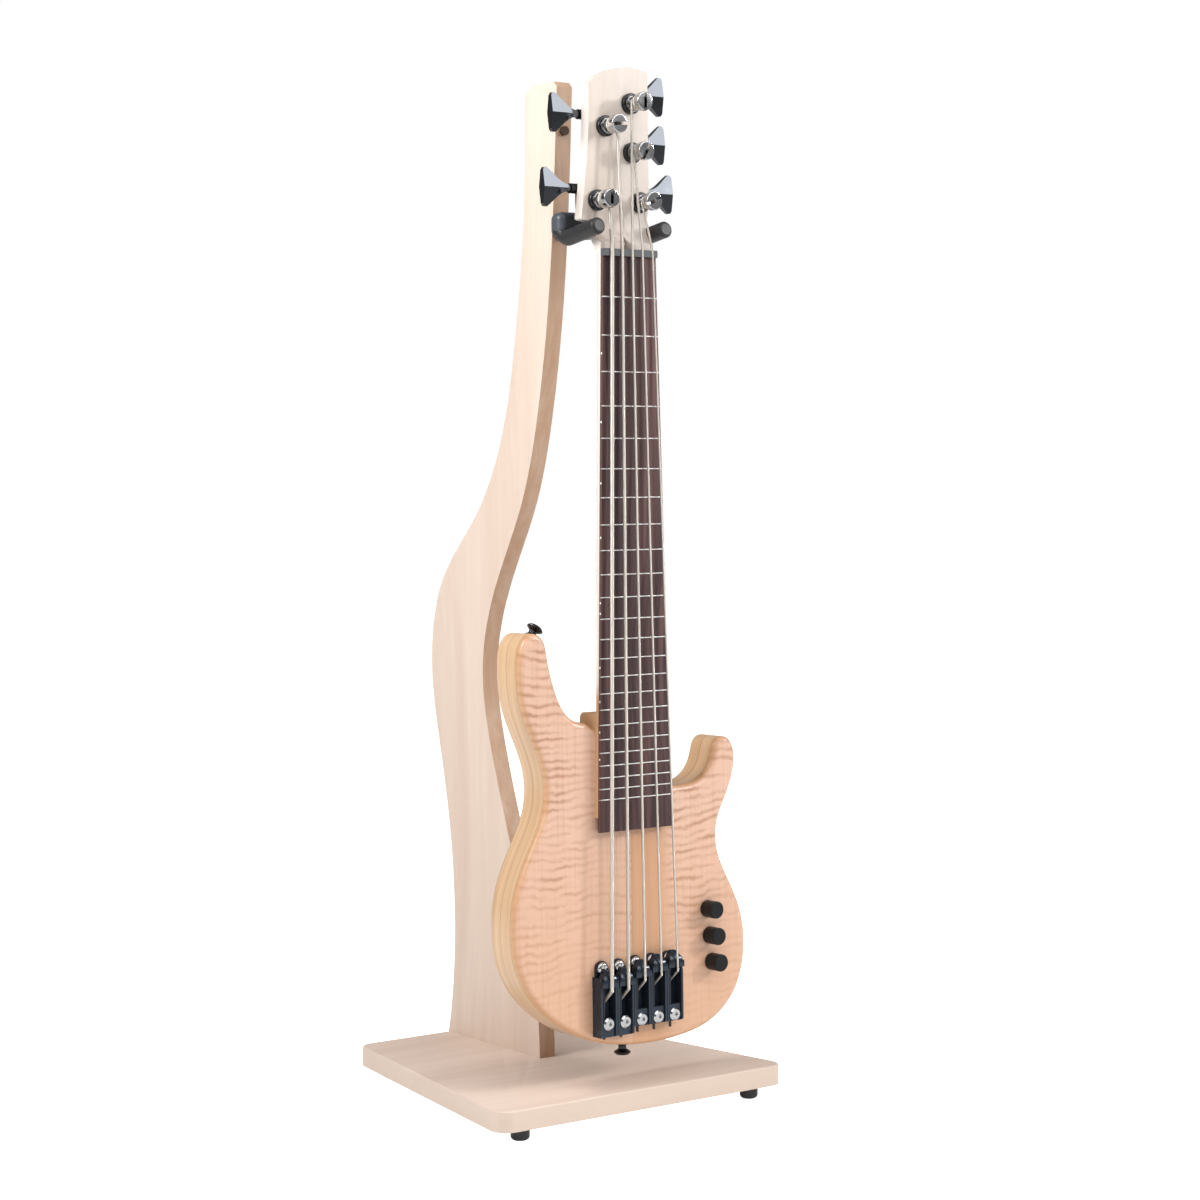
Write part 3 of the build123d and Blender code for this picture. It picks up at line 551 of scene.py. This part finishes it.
@dataclass(frozen=True)
class Metal(Finish):
    """Bare, plated or painted metal."""

    colour: RGB
    feel: Feel
    metallic: float = 1.0
    tint: RGB = (0.0, 0.0, 0.0)
    shine: float = 0.5
    smudge: float = 0.25
    roughness_spread: float = 0.10
    tooth: float = 0.000006
    relief: float = 0.4

    def build(self, effects: Effects) -> bpy.types.Material:
        """Builds the material.

        Args:
            effects: The shared shader effects.

        Returns:
            The material.
        """
        material, g, shader, where = self.start()
        marks = self.use(g, effects.handling, {"Vector": where["Object"]})
        self.finish(g, shader, {
            "Base Color": g.blend(g.math("MULTIPLY", marks["Smudges"], self.smudge), self.colour, self.tint),
            "Roughness": g.math("MULTIPLY_ADD", marks["Smudges"], self.roughness_spread, self.feel.value),
            "Metallic": self.metallic, "Specular IOR Level": self.shine,
        })
        self.emboss(g, shader, marks["Tooth"], self.tooth, self.relief)
        return material


@dataclass(frozen=True)
class WoundWire(Finish):
    """String steel with the ridges of its winding across Z, coloured with painted shade in the grooves and a
    painted highlight on the ridge tops.
    """

    colour: RGB = (0.66, 0.61, 0.55)
    groove_shade: RGB = (0.34, 0.30, 0.26)
    pitch: float = 0.00042
    dull: float = 0.40
    smudge: float = 0.2
    ridge_shine: float = -0.35
    metallic: float = 0.85
    roughness: float = 0.34
    ridge_depth: float = 0.00008
    relief: float = 0.8

    def build(self, effects: Effects) -> bpy.types.Material:
        """Builds the material.

        Args:
            effects: The shared shader effects.

        Returns:
            The material.
        """
        material, g, shader, where = self.start()
        height = g.axis(where["Object"], 2)
        ridge = g.span(g.math("SINE", g.math("MULTIPLY", height, 2 * math.pi / self.pitch)), -1.0, 1.0)
        marks = self.use(g, effects.handling, {"Vector": where["Object"]})
        # Painted shade and highlight: the ridge pattern darkens the grooves between windings and lightens
        # the ridge tops, added to the real smudges.
        shiny = g.math("MULTIPLY", ridge, self.ridge_shine)
        worn = g.math("MULTIPLY_ADD", marks["Smudges"], self.smudge, shiny)
        self.finish(g, shader, {
            "Base Color": g.blend(g.math("ADD", worn, self.dull), self.colour, self.groove_shade),
            "Metallic": self.metallic, "Roughness": self.roughness,
        })
        self.emboss(g, shader, ridge, self.ridge_depth, self.relief)
        return material


@dataclass(frozen=True)
class Moulded(Finish):
    """Moulded, machined or cast plastic and rubber."""

    colour: RGB
    feel: Feel
    worn: RGB
    wear: float = 0.3
    tooth: float = 0.00002
    shine: float = 0.25
    roughness_spread: float = 0.12
    relief: float = 0.5

    def build(self, effects: Effects) -> bpy.types.Material:
        """Builds the material.

        Args:
            effects: The shared shader effects.

        Returns:
            The material.
        """
        material, g, shader, where = self.start()
        marks = self.use(g, effects.handling, {"Vector": where["Object"]})
        self.finish(g, shader, {
            "Base Color": g.blend(g.math("MULTIPLY", marks["Smudges"], self.wear), self.colour, self.worn),
            "Roughness": g.math("MULTIPLY_ADD", marks["Smudges"], self.roughness_spread, self.feel.value),
            "Specular IOR Level": self.shine,
        })
        self.emboss(g, shader, marks["Tooth"], self.tooth, self.relief)
        return material


FINISHES: dict[str, Finish] = {
    "stand_maple": Timber("pale_stand_maple", (0.750, 0.625, 0.535), (0.600, 0.450, 0.360),
                          (0.450, 0.275, 0.170), streak=0.26, roughness=0.50, width=0.75),
    "base_maple": Timber("pale_base_maple", (0.770, 0.640, 0.560), (0.610, 0.470, 0.380),
                         (0.660, 0.530, 0.440), run=Run.ACROSS, streak=0.22, roughness=0.50,
                         width=0.75, edge_axis=2, edge_from=0.5),
    # The neck carries painted shade: amber below 0.335 m, for the shade on its heel in the body's cutaway.
    "neck_maple": Timber("satin_neck_maple", (0.760, 0.690, 0.640), (0.640, 0.520, 0.430),
                         (0.780, 0.700, 0.640), streak=0.25, roughness=0.40, coat=0.10, edge_axis=1,
                         edge_from=0.3, heel_shade=(0.600, 0.340, 0.150), heel_shade_below=0.335),
    "rosewood": Timber("dark_rosewood", (0.210, 0.105, 0.095), (0.036, 0.016, 0.018), (0.110, 0.058, 0.050),
                       streak=0.85, roughness=0.50, width=0.8, edge_axis=1, edge_from=0.3),
    "body_top_maple": FlamedTop("flamed_maple_cap"),
    "body_ash": LaminatedSides("laminated_body_wings"),
    "fret_silver": Metal("nickel_silver", (0.80, 0.79, 0.78), Feel.SATIN, metallic=0.6,
                         tint=(0.62, 0.61, 0.60)),
    "nut_graphite": Moulded("graphite_nut", (0.085, 0.088, 0.092), Feel.SATIN, (0.14, 0.14, 0.14)),
    "dot_white": Moulded("white_dots", (0.88, 0.87, 0.84), Feel.GLOSS, (0.76, 0.74, 0.70), shine=0.5),
    "steel": Metal("zinc_plated_steel", (0.62, 0.63, 0.65), Feel.SATIN, tint=(0.34, 0.34, 0.35)),
    "dark_brass": Metal("aged_brass", (0.060, 0.036, 0.022), Feel.MATTE, metallic=0.5,
                        tint=(0.03, 0.02, 0.015)),
    "black_chrome": Metal("black_chrome", (0.045, 0.045, 0.050), Feel.GLOSS, metallic=0.9,
                          tint=(0.010, 0.010, 0.012)),
    "chrome": Metal("polished_chrome", (0.50, 0.50, 0.51), Feel.MIRROR, tint=(0.32, 0.32, 0.33)),
    "string_steel": WoundWire("wound_string_steel"),
    "bridge_black": Metal("blue_black_bridge", (0.030, 0.040, 0.056), Feel.GLOSS, metallic=0.5,
                          tint=(0.012, 0.015, 0.022), shine=0.4),
    "black_gloss": Metal("glossy_black_keys", (0.100, 0.107, 0.118), Feel.MIRROR,
                         tint=(0.080, 0.085, 0.095)),
    "knob_black": Moulded("matte_black_knobs", (0.008, 0.008, 0.009), Feel.SATIN, (0.018, 0.018, 0.019),
                          wear=0.5, shine=0.2),
    "cover_black": Moulded("textured_black_covers", (0.022, 0.022, 0.024), Feel.MATTE, (0.045, 0.045, 0.048),
                           tooth=0.00005),
    "yoke_grey": Moulded("slate_yoke_moulding", (0.060, 0.068, 0.082), Feel.SATIN, (0.100, 0.108, 0.124),
                         tooth=0.00004, shine=0.5),
    "rubber": Moulded("black_rubber", (0.014, 0.014, 0.015), Feel.SATIN, (0.045, 0.045, 0.048), wear=0.45,
                      tooth=0.00003, shine=0.4),
    "jack_black": Metal("black_jack_plate", (0.035, 0.035, 0.040), Feel.GLOSS, metallic=0.7,
                        tint=(0.01, 0.01, 0.012)),
    "pot_case": Metal("plated_pot_case", (0.66, 0.66, 0.67), Feel.SATIN, tint=(0.4, 0.4, 0.4)),
    "circuit_board": Moulded("green_circuit_board", (0.020, 0.120, 0.050), Feel.SATIN,
                             (0.035, 0.180, 0.080)),
    "battery_shell": Moulded("dark_battery_wrap", (0.060, 0.060, 0.068), Feel.GLOSS, (0.120, 0.120, 0.130)),
    "piezo": Metal("brass_pickup_strip", (0.72, 0.55, 0.24), Feel.SATIN, tint=(0.45, 0.33, 0.13)),
}

# A node whose finish isn't simply that of its record slot.
NODE_FINISH = {"base_board": "base_maple", "yoke_mouldings": "yoke_grey"}


class Palette:
    """Builds each finish once and dresses objects in it."""

    def __init__(self) -> None:
        """Builds the shared effects first."""
        self.effects = Effects()
        self.made: dict[str, bpy.types.Material] = {}

    def get(self, key: str) -> bpy.types.Material:
        """Gives a finish's material, built when first asked for.

        Args:
            key: The finish's key in FINISHES.

        Returns:
            The material.
        """
        if key not in self.made:
            self.made[key] = FINISHES[key].build(self.effects)
        return self.made[key]

    def dress(self, obj: bpy.types.Object, key: str) -> None:
        """Gives every material slot of an object one finish.

        Args:
            obj: The object.
            key: The finish's key in FINISHES.
        """
        material = self.get(key)
        if not obj.material_slots:
            obj.data.materials.append(material)
        for slot in obj.material_slots:
            slot.material = material


def place(name: str, data: Any) -> bpy.types.Object:
    """Puts a mesh, lamp or camera in the scene.

    Args:
        name: The object's name.
        data: The object's data.

    Returns:
        The new object.
    """
    obj = bpy.data.objects.new(name, data)
    bpy.context.collection.objects.link(obj)
    return obj


def evaluated_mesh(obj: bpy.types.Object) -> bpy.types.Mesh:
    """Returns an object's mesh with its modifiers applied."""
    depsgraph = bpy.context.evaluated_depsgraph_get()
    return bpy.data.meshes.new_from_object(obj.evaluated_get(depsgraph), depsgraph=depsgraph)


class Tree(Graph):
    """A Geometry Nodes tree with named inputs, run once and applied."""

    def __init__(self, name: str, sizes: dict[str, float]) -> None:
        """Starts a tree.

        Args:
            name: The tree's name.
            sizes: The name and value of each number input.
        """
        super().__init__(bpy.data.node_groups.new(name, "GeometryNodeTree"))
        self.tree.interface.new_socket("Geometry", in_out="OUTPUT", socket_type="NodeSocketGeometry")
        self.sizes = sizes
        for label in sizes:
            self.tree.interface.new_socket(label, in_out="INPUT", socket_type="NodeSocketFloat")
        self.given = self.add("NodeGroupInput").outputs
        self.end = self.add("NodeGroupOutput")

    def finish_with(self, geometry: Any, material: bpy.types.Material) -> None:
        """Ends the tree with real geometry in one material.

        Args:
            geometry: The geometry, with or without instances.
            material: The material of all of it.
        """
        real = self.add("GeometryNodeRealizeInstances", {"Geometry": geometry})
        smooth = self.add("GeometryNodeSetShadeSmooth", {"Geometry": real.outputs[0]})
        dressed = self.add("GeometryNodeSetMaterial", {"Geometry": smooth.outputs[0], "Material": material})
        self.feed(self.end.inputs[0], dressed.outputs[0])

    def grow(self, name: str) -> bpy.types.Object:
        """Runs the tree.

        Args:
            name: The name of the piece and its mesh.

        Returns:
            The result as a plain mesh object.
        """
        seed = place(name + "_seed", bpy.data.meshes.new(name + "_seed"))
        modifier = seed.modifiers.new("grow", "NODES")
        modifier.node_group = self.tree
        for item in self.tree.interface.items_tree:
            if item.in_out == "INPUT":
                modifier[item.identifier] = self.sizes[item.name]
        mesh = evaluated_mesh(seed)
        mesh.name = name
        bpy.data.objects.remove(seed)
        return place(name, mesh)


@dataclass
class Frets:
    """Crowned wires set by the rule of equal temperament, in millimetres."""

    count: int = 24
    scale_length: float = 549.0
    nut_width: float = 50.4
    taper: float = 0.0431
    crown: float = 0.8
    tread: float = 0.50
    tang_width: float = 0.5
    tang_depth: float = 1.8
    end_gap: float = 0.1
    sides: int = 12

    def build(self, palette: Palette) -> list[bpy.types.Object]:
        """Grows the wires from one rule, as one piece.

        Args:
            palette: The finishes.

        Returns:
            The piece, in a list.
        """
        t = Tree("fret_rule", {"Scale Length": self.scale_length, "Nut Width": self.nut_width,
                               "Taper": self.taper, "Crown": self.crown, "Tread": self.tread})
        number = t.math("ADD", t.add("GeometryNodeInputIndex").outputs[0], 1.0)
        share = t.math("SUBTRACT", 1.0, t.math("POWER", 2.0, t.math("DIVIDE", number, -SEMITONES)))
        down = t.math("MULTIPLY", share, t.given["Scale Length"])
        board = t.math("MULTIPLY_ADD", down, t.given["Taper"], t.given["Nut Width"])
        spot = t.add("ShaderNodeCombineXYZ", {2: t.math("MULTIPLY", down, -1.0)})
        points = t.add("GeometryNodeMeshLine", {"Count": self.count}, mode="OFFSET")
        spots = t.add("GeometryNodeSetPosition", {
            "Geometry": points.outputs[0], "Position": spot.outputs[0],
        })
        wire = t.add("GeometryNodeCurvePrimitiveLine", {"Start": (-0.5, 0.0, 0.0), "End": (0.5, 0.0, 0.0)})
        profile = t.add("GeometryNodeCurvePrimitiveCircle", {"Resolution": self.sides, "Radius": 1.0})
        rod = t.add("GeometryNodeCurveToMesh", {
            "Curve": wire.outputs[0], "Profile Curve": profile.outputs[0], "Fill Caps": True,
        })
        tang = t.add("GeometryNodeMeshCube", {"Size": (1.0, self.tang_depth, self.tang_width)})
        lowered = t.add("GeometryNodeTransform", {
            "Geometry": tang.outputs[0], "Translation": (0.0, self.tang_depth / 2, 0.0),
        })
        crown_width = t.math("SUBTRACT", board, 2 * self.end_gap)
        tang_width = t.math("ADD", board, self.end_gap)
        joined = t.add("GeometryNodeJoinGeometry")
        for shape, size in ((rod, {0: crown_width, 1: t.given["Crown"], 2: t.given["Tread"]}),
                            (lowered, {0: tang_width, 1: 1.0, 2: 1.0})):
            section = t.add("ShaderNodeCombineXYZ", size)
            each = t.add("GeometryNodeInstanceOnPoints", {
                "Points": spots.outputs[0], "Instance": shape.outputs[0], "Scale": section.outputs[0],
            })
            t.feed(joined.inputs[0], each.outputs[0])
        t.finish_with(joined.outputs[0], palette.get("fret_silver"))
        piece = t.grow("fret_wires")
        piece.data.transform(NECK_TO_WORLD @ Matrix.Scale(MM, 4))
        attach(piece, "instrument")
        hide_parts("frets")
        return [piece]


@dataclass(frozen=True)
class Post:
    """One string post: its place in the neck frame, the string's radius and the way it winds."""

    number: int
    x: float
    z: float
    gauge: float
    handed: float


POSTS = (
    Post(1, -21.8, 42.6, 1.6, 1.0),
    Post(2, -13.3, 99.0, 1.35, 1.0),
    Post(3, 11.0, 117.5, 1.1, -1.0),
    Post(4, 12.0, 80.3, 0.95, -1.0),
    Post(5, 19.2, 42.8, 0.85, -1.0),
)


@dataclass
class StringWraps:
    """The turns that each string makes round its post, in millimetres."""

    waist: float = 3.6
    clearance: float = 0.1
    turns: float = 2.6
    turn_gap: float = 0.08
    first_y: float = 2.6
    tall: float = 6.5
    tall_shift: float = 0.3
    segments: int = 40
    sides: int = 14

    def build(self, palette: Palette) -> list[bpy.types.Object]:
        """Grows one coil for each post.

        Args:
            palette: The finishes.

        Returns:
            The five coils.
        """
        return [self.coil(post, palette) for post in POSTS]

    def coil(self, post: Post, palette: Palette) -> bpy.types.Object:
        """Grows the coil of one post.

        Args:
            post: The post.
            palette: The finishes.

        Returns:
            The coil, riding on its post.
        """
        radius = self.waist + post.gauge + self.clearance
        climb = self.turns * (2 * post.gauge + self.turn_gap)
        t = Tree("post_wrap", {"Turns": self.turns, "Radius": radius, "Climb": climb, "Gauge": post.gauge})
        coil = t.add("GeometryNodeCurveSpiral", {
            "Resolution": self.segments, "Rotations": t.given["Turns"], "Start Radius": t.given["Radius"],
            "End Radius": t.given["Radius"], "Height": t.given["Climb"],
        })
        wire = t.add("GeometryNodeCurvePrimitiveCircle", {
            "Resolution": self.sides, "Radius": t.given["Gauge"],
        })
        mesh = t.add("GeometryNodeCurveToMesh", {
            "Curve": coil.outputs[0], "Profile Curve": wire.outputs[0], "Fill Caps": True,
        })
        t.finish_with(mesh.outputs[0], palette.get("string_steel"))
        piece = t.grow(f"string_wrap_{post.number}")
        upright = Matrix.Rotation(math.pi / 2, 4, "X") @ Matrix.Scale(post.handed, 4, (1, 0, 0))
        start = self.first_y + (0.0 if climb < self.tall else self.tall_shift)
        spot = Matrix.Translation((post.x, start, post.z))
        piece.data.transform(NECK_TO_WORLD @ Matrix.Scale(MM, 4) @ spot @ upright)
        if post.handed < 0:
            piece.data.flip_normals()
        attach(piece, f"tuner_post_{post.number}")
        return piece


@dataclass
class CrossHeadScrews:
    """Domed screw heads with a cross recess, grown on a list of places in the neck frame."""

    name: str
    spots: list[Triple]
    head: float
    rise: float
    replaced: str
    rings: int = 7
    sides: int = 32
    bulge: float = 0.82
    sink: float = 0.42
    arm_half: float = 0.13
    arm_length: float = 0.62
    recess: float = 0.42
    skirt: float = -0.25
    weld: float = 1e-5
    first_twist: float = 0.35
    each_twist: float = 0.7

    def height_at(self, x: float, y: float, share: float) -> float:
        """Gives the height of a unit head, over its recess or beside it.

        Args:
            x: Across the head.
            y: Along the head.
            share: The distance from its middle.

        Returns:
            The height.
        """
        dome = math.sqrt(max(0.0, 1.0 - self.bulge * share * share)) - self.sink
        pressed = min(abs(x), abs(y)) < self.arm_half and max(abs(x), abs(y)) < self.arm_length
        return max(dome, 0.0) - (self.recess if pressed else 0.0)

    def head_mesh(self) -> bpy.types.Object:
        """Builds one head, of unit radius and height, with its recess pressed in.

        Returns:
            The head as an object.
        """
        builder = bmesh.new()
        rows: list[list[bmesh.types.BMVert]] = []
        for ring in range(self.rings + 1):
            share = ring / self.rings
            row = []
            for side in range(self.sides):
                angle = 2 * math.pi * side / self.sides
                x, y = share * math.cos(angle), share * math.sin(angle)
                row.append(builder.verts.new((x, y, self.height_at(x, y, share))))
            rows.append(row)
        rows.append([builder.verts.new((v.co.x, v.co.y, self.skirt)) for v in rows[-1]])
        for inner, outer in zip(rows, rows[1:]):
            for side in range(self.sides):
                after = (side + 1) % self.sides
                builder.faces.new((inner[side], outer[side], outer[after], inner[after]))
        builder.faces.new(list(reversed(rows[-1])))
        bmesh.ops.remove_doubles(builder, verts=builder.verts, dist=self.weld)
        bmesh.ops.recalc_face_normals(builder, faces=builder.faces)
        mesh = bpy.data.meshes.new(self.name + "_head")
        builder.to_mesh(mesh)
        builder.free()
        return place(self.name + "_head", mesh)

    def build(self, palette: Palette) -> list[bpy.types.Object]:
        """Grows a head on every spot, as one piece.

        Args:
            palette: The finishes.

        Returns:
            The piece, in a list.
        """
        head = self.head_mesh()
        t = Tree(self.name + "_tree", {"Head": self.head, "Rise": self.rise})
        shape = t.add("GeometryNodeObjectInfo", {"Object": head})
        size = t.add("ShaderNodeCombineXYZ", {0: t.given["Head"], 1: t.given["Head"], 2: t.given["Rise"]})
        joined = t.add("GeometryNodeJoinGeometry")
        for index, spot in enumerate(self.spots):
            point = t.add("GeometryNodePoints", {"Count": 1, "Position": spot})
            one = t.add("GeometryNodeInstanceOnPoints", {
                "Points": point.outputs[0], "Instance": shape.outputs["Geometry"], "Scale": size.outputs[0],
                "Rotation": (-math.pi / 2, self.first_twist + self.each_twist * index, 0.0),
            })
            t.feed(joined.inputs[0], one.outputs[0])
        t.finish_with(joined.outputs[0], palette.get("black_chrome"))
        piece = t.grow(self.name)
        bpy.data.objects.remove(head)
        piece.data.transform(NECK_TO_WORLD @ Matrix.Scale(MM, 4))
        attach(piece, "instrument")
        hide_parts(self.replaced)
        return [piece]


@dataclass
class BackScrews:
    """The screws of the covers, the neck plate and the gear cases, in the neck frame."""

    cavity: Bay = (54.0, 94.0, -560.0, -496.0)
    battery: Bay = (2.0, 30.0, -520.0, -469.5)
    ledge: float = 5.0
    cover_y: float = 41.0
    plate_x: tuple[float, float] = (-17.0, 17.0)
    plate_y: float = 42.6
    plate_z: tuple[float, float] = (-415.0, -375.0)
    case_y: float = 23.5
    case_drop: float = 12.2

    def round_cover(self, bay: Bay) -> list[Triple]:
        """Gives the four screw places round a cover.

        Args:
            bay: The least and greatest X and Z of the bay that it closes.

        Returns:
            The places.
        """
        left, right, low, high = bay
        half, y = self.ledge / 2, self.cover_y
        mid_x, mid_z = (left + right) / 2, (low + high) / 2
        beside = [(left - half, y, mid_z), (right + half, y, mid_z)]
        return beside + [(mid_x, y, low - half), (mid_x, y, high + half)]

    def build(self, palette: Palette) -> list[bpy.types.Object]:
        """Grows the heads of each kind of screw.

        Args:
            palette: The finishes.

        Returns:
            A piece for each kind.
        """
        covers = self.round_cover(self.cavity) + self.round_cover(self.battery)
        plate = [(x, self.plate_y, z) for x in self.plate_x for z in self.plate_z]
        cases = [(post.x, self.case_y, post.z - self.case_drop) for post in POSTS]
        kinds = (
            CrossHeadScrews("cover_screw_heads", covers, 2.1, 0.8, "cover_screws"),
            CrossHeadScrews("neck_screw_heads", plate, 4.0, 2.4, "neck_screws"),
            CrossHeadScrews("tuner_screw_heads", cases, 2.2, 1.5, "tuner_screws"),
        )
        return [piece for kind in kinds for piece in kind.build(palette)]


@dataclass(frozen=True)
class Eased:
    """A CAD solid with its sharp edges eased, as sanding leaves them."""

    node: str
    width: float
    body: str
    slot: str
    finish: str
    weld: float = 2e-6
    flat: float = math.radians(0.6)
    corner: float = math.radians(35)
    crease: float = math.radians(32)
    segments: int = 3

    def build(self, frame: dict[str, Any], palette: Palette) -> list[bpy.types.Object]:
        """Copies the node, joins its loose faces and rounds the edges.

        Args:
            frame: The loaded frame.
            palette: The finishes.

        Returns:
            The piece, in a list.
        """
        mesh = frame["nodes"][self.node].data.copy()
        piece = place(self.node + "_eased", mesh)
        work = bmesh.new()
        work.from_mesh(mesh)
        bmesh.ops.remove_doubles(work, verts=work.verts, dist=self.weld)
        bmesh.ops.dissolve_limit(work, angle_limit=self.flat, verts=work.verts, edges=work.edges)
        work.to_mesh(mesh)
        work.free()
        if mesh.has_custom_normals:
            mesh.attributes.remove(mesh.attributes["custom_normal"])
        bevel = piece.modifiers.new("ease", "BEVEL")
        bevel.width = self.width
        bevel.segments = self.segments
        bevel.limit_method = "ANGLE"
        bevel.angle_limit = self.corner
        bevel.use_clamp_overlap = True
        eased = evaluated_mesh(piece)
        piece.modifiers.clear()
        piece.data = eased
        eased.shade_smooth()
        eased.set_sharp_from_angle(angle=self.crease)
        palette.dress(piece, self.finish)
        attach(piece, self.body)
        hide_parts(self.node)
        return [piece]


EASED = (
    Eased("upright", 0.0012, "stand", "stand_maple", "stand_maple"),
    Eased("base_board", 0.0012, "stand", "stand_maple", "base_maple"),
    Eased("bridge_bases", 0.0003, "instrument", "bridge_black", "bridge_black"),
    *(Eased(f"saddle_{number}", 0.0005, f"saddle_{number}", "bridge_black", "bridge_black")
      for number in range(1, 6)),
)


@dataclass(frozen=True)
class Softbox:
    """A soft square light that looks at a target."""

    name: str
    at: Triple
    target: Triple
    size: float
    power: float

    def build(self) -> None:
        """Hangs the light."""
        lamp = bpy.data.lights.new(self.name, "AREA")
        lamp.size = self.size
        lamp.energy = self.power
        holder = place(self.name, lamp)
        holder.location = self.at
        look = Vector(self.target) - Vector(self.at)
        holder.rotation_euler = look.to_track_quat("-Z", "Y").to_euler()


LIGHTS = (
    Softbox("key", (2.15, -1.95, 1.45), (0.0, -0.08, 0.42), 0.34, 30.0),
    Softbox("panel", (1.70, -2.35, 1.95), (0.0, -0.08, 0.60), 1.25, 26.0),
    Softbox("left", (-2.2, -0.2, 1.5), (0.0, 0.0, 0.50), 1.4, 17.0),
    Softbox("crest", (-0.8, 0.10, 1.12), (0.0, 0.03, 0.72), 0.4, 7.5),
    Softbox("top", (-0.5, -1.6, 2.8), (0.0, -0.05, 0.2), 2.8, 46.0),
)


@dataclass
class Studio:
    """Pale floor, soft lights and the camera."""

    eye: Vector = field(default_factory=lambda: Vector((-1.28171, -1.78647, 0.51312)))
    yaw: float = -36.931
    pitch: float = 3.123
    lens: float = 82.66
    sensor: float = 36.0
    sight: float = 50.0
    ambient: float = 0.24
    floor_glow: float = 0.25
    floor_half: float = 6.0
    floor_z: float = -0.0004
    floor_white: float = 0.8

    def build(self) -> None:
        """Sets the whole studio."""
        self.floor()
        for light in LIGHTS:
            light.build()
        self.room()
        bpy.context.scene.view_settings.view_transform = "Standard"
        camera = bpy.data.cameras.new("camera")
        camera.lens = self.lens
        camera.sensor_width = self.sensor
        camera.clip_end = self.sight
        holder = place("camera", camera)
        holder.location = self.eye
        holder.rotation_euler = (math.radians(90.0 - self.pitch), 0.0, math.radians(self.yaw))
        bpy.context.scene.camera = holder

    def seen_or_not(self, g: Graph, unseen: float) -> bpy.types.NodeSocket:
        """Gives 1 where the camera looks and another strength for the light that falls on pieces."""
        return g.span(g.add("ShaderNodeLightPath").outputs["Is Camera Ray"], 0.0, 1.0, unseen, 1.0)

    def room(self) -> None:
        """Fills the room with soft light and shows a white backdrop behind everything."""
        world = bpy.data.worlds.new("white_room")
        world.use_nodes = True
        world.node_tree.nodes.clear()
        g = Graph(world.node_tree)
        strength = self.seen_or_not(g, self.ambient)
        backdrop = g.add("ShaderNodeBackground", {"Color": WHITE, "Strength": strength})
        g.add("ShaderNodeOutputWorld", {"Surface": backdrop.outputs[0]})
        bpy.context.scene.world = world

    def floor(self) -> None:
        """Lays a wide glowing white floor just under the feet."""
        half, low = self.floor_half, self.floor_z
        mesh = bpy.data.meshes.new("studio_floor")
        corners = [(-half, -half, low), (half, -half, low), (half, half, low), (-half, half, low)]
        mesh.from_pydata(corners, [], [(0, 1, 2, 3)])
        obj = place("studio_floor", mesh)
        material = bpy.data.materials.new("white_floor")
        material.use_nodes = True
        material.node_tree.nodes.clear()
        g = Graph(material.node_tree)
        shader = g.add("ShaderNodeBsdfPrincipled", {
            "Base Color": (*(self.floor_white,) * 3, 1.0), "Specular IOR Level": 0.0,
            "Emission Color": WHITE, "Emission Strength": self.seen_or_not(g, self.floor_glow),
        })
        g.add("ShaderNodeOutputMaterial", {"Surface": shader.outputs[0]})
        mesh.materials.append(material)


def main() -> None:
    """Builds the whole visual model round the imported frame."""
    logging.basicConfig(level=logging.INFO, format="%(name)s: %(message)s")
    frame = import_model()
    palette = Palette()
    slots = {part["node"]: part["material_slot"] for part in frame["record"]["subparts"]}
    for name, node in frame["nodes"].items():
        palette.dress(node, NODE_FINISH.get(name, slots[name]))

    pieces = Frets().build(palette) + StringWraps().build(palette)
    for eased in EASED:
        pieces += eased.build(frame, palette)
    pieces += BackScrews().build(palette)
    for piece in pieces:
        LOG.info("made %s with %d faces", piece.name, len(piece.data.polygons))

    Studio().build()


if __name__ == "__main__":
    main()
